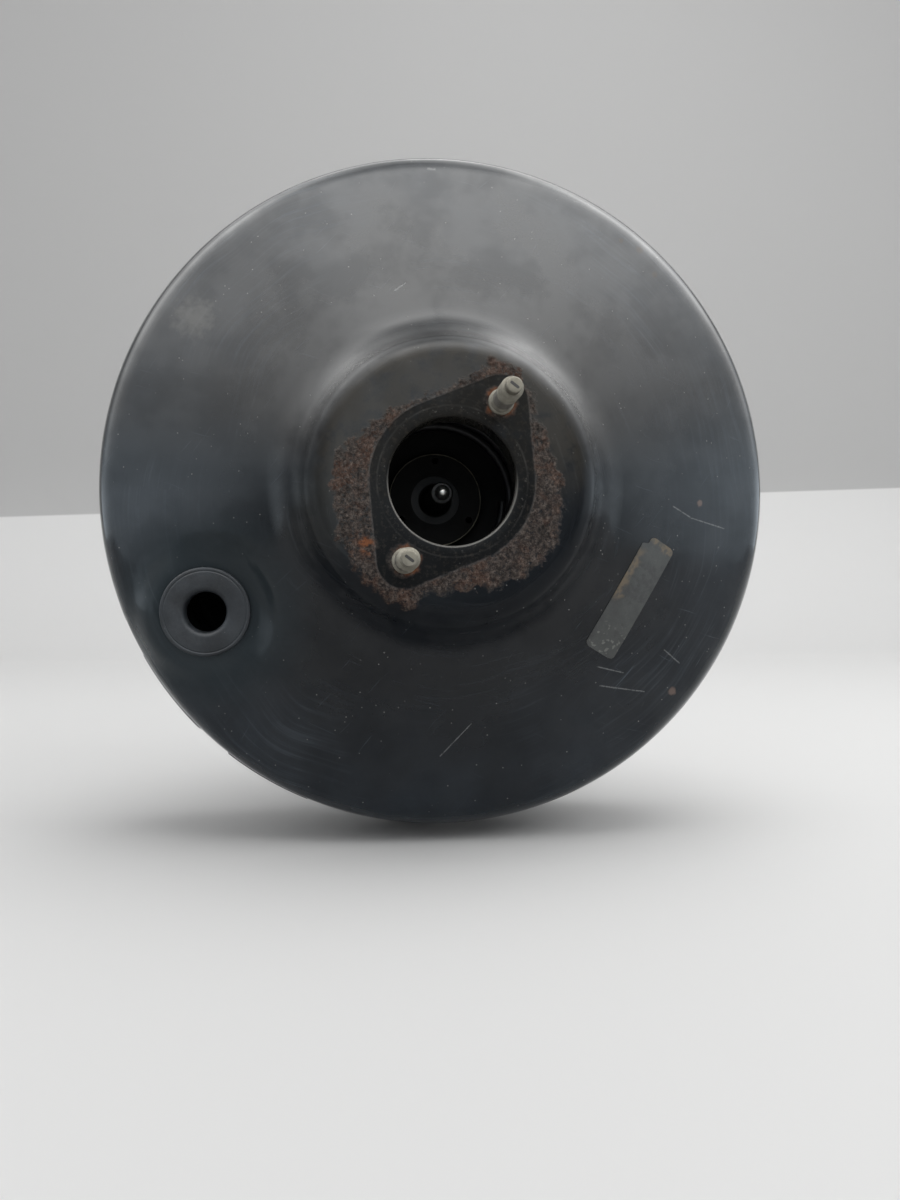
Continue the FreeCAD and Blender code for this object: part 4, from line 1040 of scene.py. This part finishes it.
# Dark patches along the torn side: painted shade of creases in the film.
crease_shade = t.times(t.map(t.noise(position, 0.35, 4.0, 0.7), 0.5, 0.6), torn)
flecks = t.times(t.map(t.noise(position, 0.5, 3.0), 0.58, 0.64), t.map(sideways, -10.0, -17.0))
scraped = t.map(t.noise(position, 0.1, 6.0, 0.7), 0.5, 0.6)
stain = t.times(t.map(t.plus(outward, t.ragged(position, 0.25, 4.0, 7.0)), -3.2, -5.4), torn)
upper = t.map(t.plus(sideways, t.times(t.minus(cloud, 0.5), 6.0)), 21.5, 23.5)
brown = t.times(t.most(stain, upper), t.map(t.noise(position, 0.4, 4.0), 0.3, 0.55))
colour = t.mix(cloud, (0.018, 0.02, 0.0195), (0.033, 0.036, 0.034))
colour = t.over(colour, t.map(fibre, 0.55, 0.75), 0.4, (0.1, 0.1, 0.09))
colour = t.over(colour, crease_shade, 0.6, (0.008, 0.008, 0.0085))
colour = t.over(colour, flecks, 0.6, (0.14, 0.145, 0.13))
colour = t.over(colour, scraped, 0.6, (0.008, 0.008, 0.0085))
colour = t.over(colour, brown, 0.8, (0.11, 0.08, 0.044))
bump = t.node("Bump", {"Height": fibre, "Strength": 0.3, "Distance": 0.0002})
t.wire(shader, {"Base Color": colour, "Roughness": t.line(cloud, 0.15, 0.38), "Normal": bump})

# %% Label strip
LABEL_HALF_LENGTH = 25.0
LABEL_HALF_WIDTH = 6.95
LABEL_CORNER = 2.0
LABEL_FILM = 0.25
LABEL_SINK = 0.03
NOTCH_FROM = 20.5
NOTCH_RAMP = 1.2
NOTCH_DEPTH = 2.4
LABEL_ROWS = 100
LABEL_COLUMNS = 14


def half_width(u, side):
    """Half width at a place along the strip: rounded corners, and a torn notch at the upper end."""
    into = abs(u) - (LABEL_HALF_LENGTH - LABEL_CORNER)
    wide = LABEL_HALF_WIDTH
    if into > 0:
        wide -= LABEL_CORNER - math.sqrt(max(0.0, LABEL_CORNER ** 2 - into ** 2))
    if side < 0 and u > NOTCH_FROM:
        wide -= NOTCH_DEPTH * min(1.0, (u - NOTCH_FROM) / NOTCH_RAMP)
    return wide


verts = []
for lift in (LABEL_FILM, -LABEL_SINK):
    for i in range(LABEL_ROWS + 1):
        u = LABEL_HALF_LENGTH * (2 * i / LABEL_ROWS - 1)
        for k in range(LABEL_COLUMNS + 1):
            share = 2 * k / LABEL_COLUMNS - 1
            v = share * half_width(u, share)
            x = LABEL_X + v * OUTWARD[0] + u * SIDEWAYS[0]
            z = LABEL_Z + v * OUTWARD[2] + u * SIDEWAYS[2]
            verts.append((x * MM, (cone_y(math.hypot(x, z)) - lift) * MM, z * MM))
wide = LABEL_COLUMNS + 1
layer = (LABEL_ROWS + 1) * wide
faces = []
for base in (0, layer):
    for i in range(LABEL_ROWS):
        for k in range(LABEL_COLUMNS):
            a = base + i * wide + k
            faces.append((a, a + 1, a + wide + 1, a + wide))
edge = [i * wide for i in range(LABEL_ROWS + 1)]
edge += [LABEL_ROWS * wide + k for k in range(1, LABEL_COLUMNS + 1)]
edge += [i * wide + LABEL_COLUMNS for i in range(LABEL_ROWS - 1, -1, -1)]
edge += list(range(LABEL_COLUMNS - 1, 0, -1))
for a, b in zip(edge, edge[1:] + edge[:1]):
    faces.append((a, b, b + layer, a + layer))
label = make_object("label_strip_film", verts, faces, film)
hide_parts("label_strip")
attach(label, "housing")
print("label:", len(label.data.polygons), "faces")

# %% [markdown]
# ## The pushrod in the opening
# Deep in the opening stands the output rod with its ball. It is the one bright thing in a dark
# well, so its edges are eased to catch a glint. A thin ring marks the edge of the valve body's nose
# behind it, which shows in the photograph as a fine bright line.

# %% Output rod and its tip
NOSE_Y = -38.0
ROD_RADIUS = 4.6
SCREW_RADIUS = 2.4
BALL_RADIUS = 3.0
rod_low, rod_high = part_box("output_rod")
rod_foot, sleeve_y = rod_high.y / MM, rod_low.y / MM
ball_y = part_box("output_rod_tip")[0].y / MM
output_line = [(AXIS, rod_foot), (15.3, rod_foot), (15.3, NOSE_Y + 1, 0.5), (7.1, NOSE_Y + 1, 1.0),
               (ROD_RADIUS, NOSE_Y - 3, 2.0), (ROD_RADIUS, sleeve_y, 0.8), (SCREW_RADIUS, sleeve_y),
               (SCREW_RADIUS, sleeve_y + 10), (AXIS, sleeve_y + 10)]
output = turned("output_rod_skin", rounded(output_line), 64, closed=False, material=dark_rod)
rim_line = [(19.9, NOSE_Y + 0.3, 0.0), (19.9, NOSE_Y - 0.02, 0.1), (20.45, NOSE_Y - 0.02, 0.25),
            (20.45, NOSE_Y + 0.3)]
rim = turned("nose_rim_line", rounded(rim_line, 20, closed=True), 96, material=zinc)
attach(rim, "piston")
ball_line = [(AXIS, ball_y)]
for degrees in range(8, 129, 8):
    turn = math.radians(degrees)
    ball_line.append((BALL_RADIUS * math.sin(turn), ball_y + BALL_RADIUS - BALL_RADIUS * math.cos(turn)))
ball_line += [(SCREW_RADIUS, ball_y + 5.2), (SCREW_RADIUS, sleeve_y + 9), (AXIS, sleeve_y + 9)]
tip = turned("output_rod_tip_skin", ball_line, 48, closed=False, material=bright_steel)
for piece, node in ((output, "output_rod"), (tip, "output_rod_tip")):
    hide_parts(node)
    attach(piece, "piston")

# %% [markdown]
# ## Input rod
# The rod from the pedal has a ball that snaps into the plunger, a collar for the return spring and a
# rolled thread for the clevis and its lock nut.

# %% Input rod
THREAD_FROM, THREAD_TO = 63.5, 116.0
BALL_END_RADIUS = 4.0
BALL_END_Y = -0.6
rod_line = [(AXIS, BALL_END_Y - BALL_END_RADIUS)]
for degrees in range(15, 136, 15):
    turn = math.radians(degrees)
    rod_line.append((BALL_END_RADIUS * math.sin(turn), BALL_END_Y - BALL_END_RADIUS * math.cos(turn)))
rod_line += [(2.8, 12.0), (4.0, 13.2), (4.0, 35.2), (5.7, 35.2), (6.0, 35.5), (6.0, 36.9), (5.7, 37.2),
             (4.0, 37.2), (4.0, 62.0), (4.95, 63.0)]
rod_line += thread_rows(THREAD_FROM, THREAD_TO, 4.98, 1.5) + [(4.0, 117.0), (AXIS, 117.0)]
input_rod = turned("input_rod_skin", rod_line, 40, closed=False, material=zinc,
                   swell=threaded(THREAD_FROM, THREAD_TO, 1.5, 0.8))
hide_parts("input_rod")
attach(input_rod, "input_rod")

# %% [markdown]
# ## Clevis and lock nut
# The clevis is a block with a slot and a cross hole. It is built as one plate with a rounded end
# for each cheek and a block behind them. The lock nut is a hexagon whose corners are turned off,
# which is the hexagon section limited by a cone at both ends.

# %% Lock nut
NUT_FROM, NUT_TO = 96.0, 103.0
NUT_FLAT = 8.5
NUT_CORNER = 9.9
NUT_EDGE_RADIUS = 8.6
NUT_EDGE_SLOPE = 1.9
NUT_STEPS = [0.0, 0.12, 0.3, 0.5, 0.7, 1.0]


def hexagonal(r, y, angle):
    """Hexagon whose corners are turned off by a cone at both ends."""
    flat = NUT_FLAT / math.cos((angle + math.pi / 6) % (math.pi / 3) - math.pi / 6)
    cone = NUT_EDGE_RADIUS + min(y - NUT_FROM, NUT_TO - y) * NUT_EDGE_SLOPE
    return min(flat, cone) if r > 6 else r


nut_line = [(4.9, NUT_FROM), (5.4, NUT_FROM)] + [(NUT_CORNER, NUT_FROM + d) for d in NUT_STEPS]
nut_line += [(NUT_CORNER, NUT_TO - d) for d in NUT_STEPS[::-1]] + [(5.4, NUT_TO), (4.9, NUT_TO)]
nut = turned("clevis_lock_nut_skin", nut_line, 96, swell=hexagonal, material=zinc)
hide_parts("clevis_lock_nut")
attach(nut, "input_rod")

# %% Clevis
CLEVIS_Y = 103.0
CLEVIS_BLOCK = 14.0
CLEVIS_PIN_Y = 138.0
CLEVIS_PIN_RADIUS = 5.05
CLEVIS_HALF_HEIGHT = 10.0
CLEVIS_HALF_WIDTH = 12.0
CLEVIS_HALF_SLOT = 8.0
CLEVIS_EASE = 0.7


def plate(name, outline, x0, x1):
    """Flat piece between x0 and x1 from an outline of (y, z) points."""
    count = len(outline)
    verts = [(x * MM, y * MM, z * MM) for x in (x0, x1) for y, z in outline]
    faces = [tuple(range(count)), tuple(range(count, 2 * count))]
    faces += [(k, (k + 1) % count, count + (k + 1) % count, count + k) for k in range(count)]
    return make_object(name, verts, faces)


def about_pin(radius, first, step, count):
    """Points of an arc about the clevis pin, with the angles in degrees."""
    turns = [math.radians(first + step * k) for k in range(count)]
    return [(CLEVIS_PIN_Y + radius * math.cos(turn), radius * math.sin(turn)) for turn in turns]


cheek = [(CLEVIS_Y, CLEVIS_HALF_HEIGHT)] + about_pin(CLEVIS_HALF_HEIGHT, 90, -5, 37)
cheek.append((CLEVIS_Y, -CLEVIS_HALF_HEIGHT))
clevis = plate("pedal_clevis_skin", cheek, -CLEVIS_HALF_WIDTH, CLEVIS_HALF_WIDTH)
slot_start, slot_end = CLEVIS_Y + CLEVIS_BLOCK, CLEVIS_PIN_Y + CLEVIS_HALF_HEIGHT + 2
slot = plate("slot", [(slot_start, 15), (slot_end, 15), (slot_end, -15), (slot_start, -15)],
             -CLEVIS_HALF_SLOT, CLEVIS_HALF_SLOT)
pin_hole = plate("pin_hole", about_pin(CLEVIS_PIN_RADIUS, 0, 7.5, 48),
                 -CLEVIS_HALF_WIDTH - 1, CLEVIS_HALF_WIDTH + 1)
screw_hole = turned("screw_hole", [(AXIS, CLEVIS_Y - 1), (4.9, CLEVIS_Y - 1), (4.9, slot_start + 1),
                                   (AXIS, slot_start + 1)], 32)
for tool in (slot, pin_hole, screw_hole):
    cut_out(clevis, tool)
edge = clevis.modifiers.new("eased edges", "BEVEL")
edge.width = CLEVIS_EASE * MM
edge.segments = 3
edge.limit_method = "ANGLE"
edge.angle_limit = math.radians(40)
apply_modifiers(clevis)
painted(clevis, zinc)
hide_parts("pedal_clevis")
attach(clevis, "input_rod")
print("clevis:", len(clevis.data.polygons), "faces")

# %% [markdown]
# ## Springs by Geometry Nodes
# A compression spring is a curve with a round wire along it. The tree takes the two coil radii, the
# turns, the length and the wire, so one tree makes all three springs: the big conical return spring
# and the two small ones in the valve. The CAD file has them faceted, since a swept coil made its
# mesh too heavy. Here the wire is round.

# %% Spring tree
spring_tree, g, given, result = new_group(
    "Coil spring", [("Turns", "f", 6.0), ("Start Radius", "f", 0.04), ("End Radius", "f", 0.03),
                    ("Length", "f", 0.075), ("Wire", "f", 0.002), ("Start", "f", 0.0),
                    ("Finish", "m", None)], [("Geometry", "g")], "GeometryNodeTree")
spiral = g.node("GeometryNodeCurveSpiral", {
    "Resolution": 40, "Rotations": given["Turns"], "Start Radius": given["Start Radius"],
    "End Radius": given["End Radius"], "Height": given["Length"]})
placed = g.node("GeometryNodeTransform", {"Geometry": spiral, "Rotation": (-math.pi / 2, 0, 0),
                                          "Translation": g.node("CombineXYZ", {"Y": given["Start"]})})
circle = g.node("GeometryNodeCurvePrimitiveCircle", {"Resolution": 12, "Radius": given["Wire"]})
pipe = g.node("GeometryNodeCurveToMesh", {"Curve": placed, "Profile Curve": circle, "Fill Caps": True})
solid = g.node("GeometryNodeRealizeInstances", {0: pipe})
finished = g.node("GeometryNodeSetMaterial", {"Geometry": solid, "Material": given["Finish"]})
g.wire(result, {"Geometry": finished})

# %% Three springs
SPRINGS = [
    ("return_spring", "housing", "piston", -105.0, -30.0, 40.0, 31.0, 2.1, 6.0),
    ("poppet_spring", "poppet", "piston", 6.3, 15.0, 11.2, 11.2, 0.6, 3.0),
    ("input_return_spring", "piston", "plunger", 16.2, 34.0, 12.0, 12.0, 0.9, 4.0),
]
for name, fixed, moving, y0, y1, first_r, last_r, wire_r, turns in SPRINGS:
    spring = by_nodes(name + "_wire", spring_tree, {
        "Turns": turns, "Start Radius": first_r * MM, "End Radius": last_r * MM,
        "Length": (y1 - y0 - 2 * wire_r) * MM, "Wire": wire_r * MM, "Start": (y0 + wire_r) * MM,
        "Finish": spring_steel})
    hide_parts(name)
    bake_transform(spring)

# %% [markdown]
# ## Rubber pieces
# Four rubber pieces are held at one end by one body and at the other by another: the rolling
# diaphragm, the poppet's sleeve and the two parts of the dust boot. Each is one turned skin. The
# boot is split inside its last fold, where it changes from the piston's travel to the rod's swing,
# since a skin can bend between two bodies only.

# %% Helper: bead of a rubber piece
def bead(r0, r1, y0, y1, corner, segments):
    """Ring with a rectangular section, its corners rounded."""
    outline = [(r0, y0, corner), (r1, y0, corner), (r1, y1, corner), (r0, y1, corner)]
    return turned("bead", rounded(outline, closed=True), segments)


# %% Diaphragm
LOOP = 126.2
WEB_Y = -12.8
BEAD_Y = -39.4
web_line = [(29.0, WEB_Y), (117.3, WEB_Y, 4.5), (117.3, -19.3, 3.0), (LOOP, -22.3, 3.0), (LOOP, BEAD_Y, 1.0),
            (JOINT_RADIUS, BEAD_Y)]
web = turned("diaphragm_web", sheet_outline(web_line, 1.8, 4.0), 160)
outer_bead = bead(134.0, JOINT_RADIUS, -42.0, -37.0, 0.0, 160)
inner_bead = bead(26.0, 30.0, -15.5, -11.0, 0.8, 96)
diaphragm = joined("diaphragm_skin", [web, outer_bead, inner_bead], black_rubber)
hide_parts("diaphragm")
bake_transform(diaphragm)

# %% Poppet sleeve
sleeve_line = [(14.5, 5.6), (14.5, 9.1, 1.5), (17.8, 10.6, 1.0), (17.8, 14.0)]
sleeve = turned("poppet_sleeve", sheet_outline(sleeve_line, 0.9, 1.0), 64)
sleeve_bead = bead(16.0, 19.0, 13.0, 15.0, 0.4, 64)
poppet_sleeve = joined("poppet_bellows_skin", [sleeve, sleeve_bead], black_rubber)
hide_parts("poppet_bellows")
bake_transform(poppet_sleeve)

# %% Dust boot
BOOT_WALL = 1.4
BOOT_FOLDS = 4
BOOT_FOLD_START = 27.0
BOOT_FOLD_END = 59.0
BOOT_CREST = 34.0
BOOT_VALLEY = 27.0
BOOT_ROUND = 1.6
boot_mouth = NECK_RADIUS + BOOT_WALL
fold = (BOOT_FOLD_END - BOOT_FOLD_START) / BOOT_FOLDS
folds_line = [(boot_mouth, 18.0), (boot_mouth, BOOT_FOLD_START, 0.8)]
for k in range(BOOT_FOLDS):
    folds_line.append((BOOT_CREST, BOOT_FOLD_START + fold * (k + 0.45), BOOT_ROUND))
    folds_line.append((BOOT_VALLEY, BOOT_FOLD_START + fold * (k + 0.95), BOOT_ROUND))
folds_line += [(28.5, 62.0, BOOT_ROUND), (12.3, 75.7)]
cone_line = [(16.6, 69.5), (8.4, 76.5, 1.5), (7.6, 79.0, 1.0), (6.4, 80.0, 1.0), (6.4, 86.0)]
folds, cone = (turned(name, sheet_outline(line, BOOT_WALL, 2.0), 96, material=black_rubber)
               for name, line in (("dust_boot_folds", folds_line), ("dust_boot_cone", cone_line)))
for piece in (folds, cone):
    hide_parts("dust_boot")
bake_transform(folds)
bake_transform(cone)
print("boot:", len(folds.data.polygons) + len(cone.data.polygons), "faces")

# %% [markdown]
# ## Stage
# The booster stands on its rim on a white table in front of a plain grey wall. Table and wall are
# one swept sheet, so there is no corner line. Where white turns to grey is a mask on the wall in
# object coordinates, soft by a few millimetres, as the far edge of a table out of focus is.

# %% Floor and wall
FLOOR_Z = -FLANGE_RADIUS
FLOOR_FRONT = -900.0
WALL_Y = 1150.0
WALL_TOP = 1500.0
STAGE_HALF_WIDTH = 2200.0
BEND = 320.0
EDGE_Z = 101.0
EDGE_SLOPE = 0.0424
EDGE_SOFT = 2.0
profile = [(FLOOR_FRONT, FLOOR_Z), (WALL_Y - BEND, FLOOR_Z)]
for degrees in range(5, 91, 5):
    turn = math.radians(degrees)
    profile.append((WALL_Y - BEND + BEND * math.sin(turn), FLOOR_Z + BEND - BEND * math.cos(turn)))
profile.append((WALL_Y, WALL_TOP))
verts = [(x * MM, y * MM, z * MM) for x in (-STAGE_HALF_WIDTH, STAGE_HALF_WIDTH) for y, z in profile]
faces = [(k, k + 1, len(profile) + k + 1, len(profile) + k) for k in range(len(profile) - 1)]
backdrop_paint, t, shader = new_material("table_and_wall")
parts = t.separate(t.object_position())
over_edge = t.minus(parts["Z"], t.line(parts["X"], EDGE_SLOPE, EDGE_Z))
above = t.map(over_edge, -EDGE_SOFT, EDGE_SOFT)
t.wire(shader, {"Base Color": t.mix(above, (0.78, 0.78, 0.77), (0.5, 0.5, 0.495)), "Roughness": 0.7,
                "Specular IOR Level": 0.1})
backdrop = make_object("backdrop", verts, faces, backdrop_paint)

# %% [markdown]
# ## Lights
# Gloss black paint shows its surroundings far more than its own colour, so the light is built from
# what it should mirror. A tent round the set, which only mirrors see, glows by the height and the
# bearing it is seen at: brightest at sixty degrees, dim in front and behind, a little brighter low
# down at both sides, where it is also slightly blue. That gives the cone its gradient from a pale
# top to a black bottom. Two softboxes light the table and the wall and cast the soft shadow under
# the rim.

# %% Softboxes
def softbox(name, at, target, width, height, power):
    """Area light that shows in no mirror."""
    data = bpy.data.lights.new(name, "AREA")
    data.shape = "RECTANGLE"
    data.size = width * MM
    data.size_y = height * MM
    data.energy = power
    lamp = added(name, data)
    lamp.location = Vector(at) * MM
    way = Vector(target) * MM - lamp.location
    lamp.rotation_euler = way.to_track_quat("-Z", "Y").to_euler()
    lamp.visible_glossy = False
    lamp.visible_camera = False


softbox("key", (200, -150, 1450), (50, 0, 0), 1400, 1100, 12.0)
softbox("fill", (900, -700, 900), (300, 1000, 200), 700, 700, 4.0)

# %% Glow of the light tent
TENT_LOW = -10
TENT_GLOW = [(TENT_LOW, 0.35), (0, 0.35), (5, 0.9), (8, 1.3), (12, 2.3), (20, 2.6), (30, 3.9), (40, 6.0),
             (50, 7.6), (60, 8.4), (66, 6.0), (76, 2.8), (90, 1.4)]
TENT_BRIGHTEST = 8.4
TENT_SIDES = 1.9
tent_glow = bpy.data.materials.new("light_tent")
tent_glow.use_nodes = True
tent_glow.node_tree.nodes.clear()
t = Tree(tent_glow.node_tree)
way = t.vector_math("NORMALIZE", t.node("TexCoord", output="Object"))
parts = t.separate(way)
climb = t.times(t.math("ARCSINE", parts["Z"]), 180 / math.pi)
turn = t.times(t.math("ARCTAN2", parts["X"], t.times(parts["Y"], -1.0)), 180 / math.pi)
span = 90 - TENT_LOW
glow = t.ramp(t.map(climb, TENT_LOW, 90.0, smooth=False),
              [((degrees - TENT_LOW) / span, grey(level / TENT_BRIGHTEST)) for degrees, level in TENT_GLOW],
              "EASE")
left_dim = t.times(t.map(turn, -20.0, -32.0), t.map(climb, 33.0, 41.0), 0.2)
front_dim = t.times(t.map(turn, 4.0, 13.0), t.map(turn, 38.0, 30.0), t.map(climb, 20.0, 11.0), 0.55)
behind = t.times(t.map(parts["Y"], 0.05, 0.4), 0.72)
glow = t.times(glow, TENT_BRIGHTEST, t.minus(1.0, t.most(left_dim, front_dim)), t.minus(1.0, behind))
low_right = t.times(t.map(turn, 42.0, 56.0), t.map(climb, 14.0, 4.0), TENT_SIDES)
low_left = t.times(t.map(turn, -36.0, -47.0), t.map(climb, 12.0, 2.0), TENT_SIDES)
tone = t.mix(t.map(climb, 6.0, 24.0), (0.86, 0.96, 1.04), (1.0, 1.0, 0.99))
shine = t.node("Emission", {"Color": tone, "Strength": t.plus(glow, t.plus(low_right, low_left))})
t.outputs("OutputMaterial", {"Surface": shine})

# %% Light tent
TENT_RADIUS = 3.0
TENT_ROWS, TENT_COLUMNS = 24, 48
verts = [(0, 0, TENT_RADIUS), (0, 0, -TENT_RADIUS)]
for i in range(1, TENT_ROWS):
    down = math.pi * i / TENT_ROWS
    for k in range(TENT_COLUMNS):
        turn = 2 * math.pi * k / TENT_COLUMNS
        verts.append((TENT_RADIUS * math.sin(down) * math.cos(turn),
                      TENT_RADIUS * math.sin(down) * math.sin(turn), TENT_RADIUS * math.cos(down)))
lowest = 2 + (TENT_ROWS - 2) * TENT_COLUMNS
faces = []
for k in range(TENT_COLUMNS):
    after = (k + 1) % TENT_COLUMNS
    faces += [(0, 2 + k, 2 + after), (1, lowest + after, lowest + k)]
    for upper in range(2, lowest, TENT_COLUMNS):
        lower = upper + TENT_COLUMNS
        faces.append((upper + k, lower + k, lower + after, upper + after))
tent = make_object("light_tent", verts, faces, tent_glow)
tent.visible_camera = False
tent.visible_diffuse = False
tent.visible_transmission = False
tent.visible_shadow = False

# %% World
world = bpy.data.worlds.new("studio_air")
bpy.context.scene.world = world
world.use_nodes = True
air = world.node_tree.nodes["Background"]
air.inputs["Color"].default_value = (0.5, 0.5, 0.51, 1)
air.inputs["Strength"].default_value = 1.0

# %% [markdown]
# ## Camera
# The camera was fitted to the photograph: the rim, the hub, the opening and both studs had to fall
# on their places at once. It stands 44 cm in front, a little to the left and below the axis.

# %% Camera
CAMERA_AT = (-34.846, -436.412, -37.219)
CAMERA_WAY = (0.10344, 0.99449, -0.01682)
camera_data = bpy.data.cameras.new("portrait")
camera_data.lens = 27.18
camera_data.sensor_width = 36.0
camera_data.sensor_fit = "AUTO"
camera_data.clip_start = 0.01
camera_data.clip_end = 20.0
camera = added("portrait", camera_data)
camera.location = Vector(CAMERA_AT) * MM
camera.rotation_euler = Vector(CAMERA_WAY).to_track_quat("-Z", "Y").to_euler()
bpy.context.scene.camera = camera
bpy.context.scene.view_settings.view_transform = "Standard"
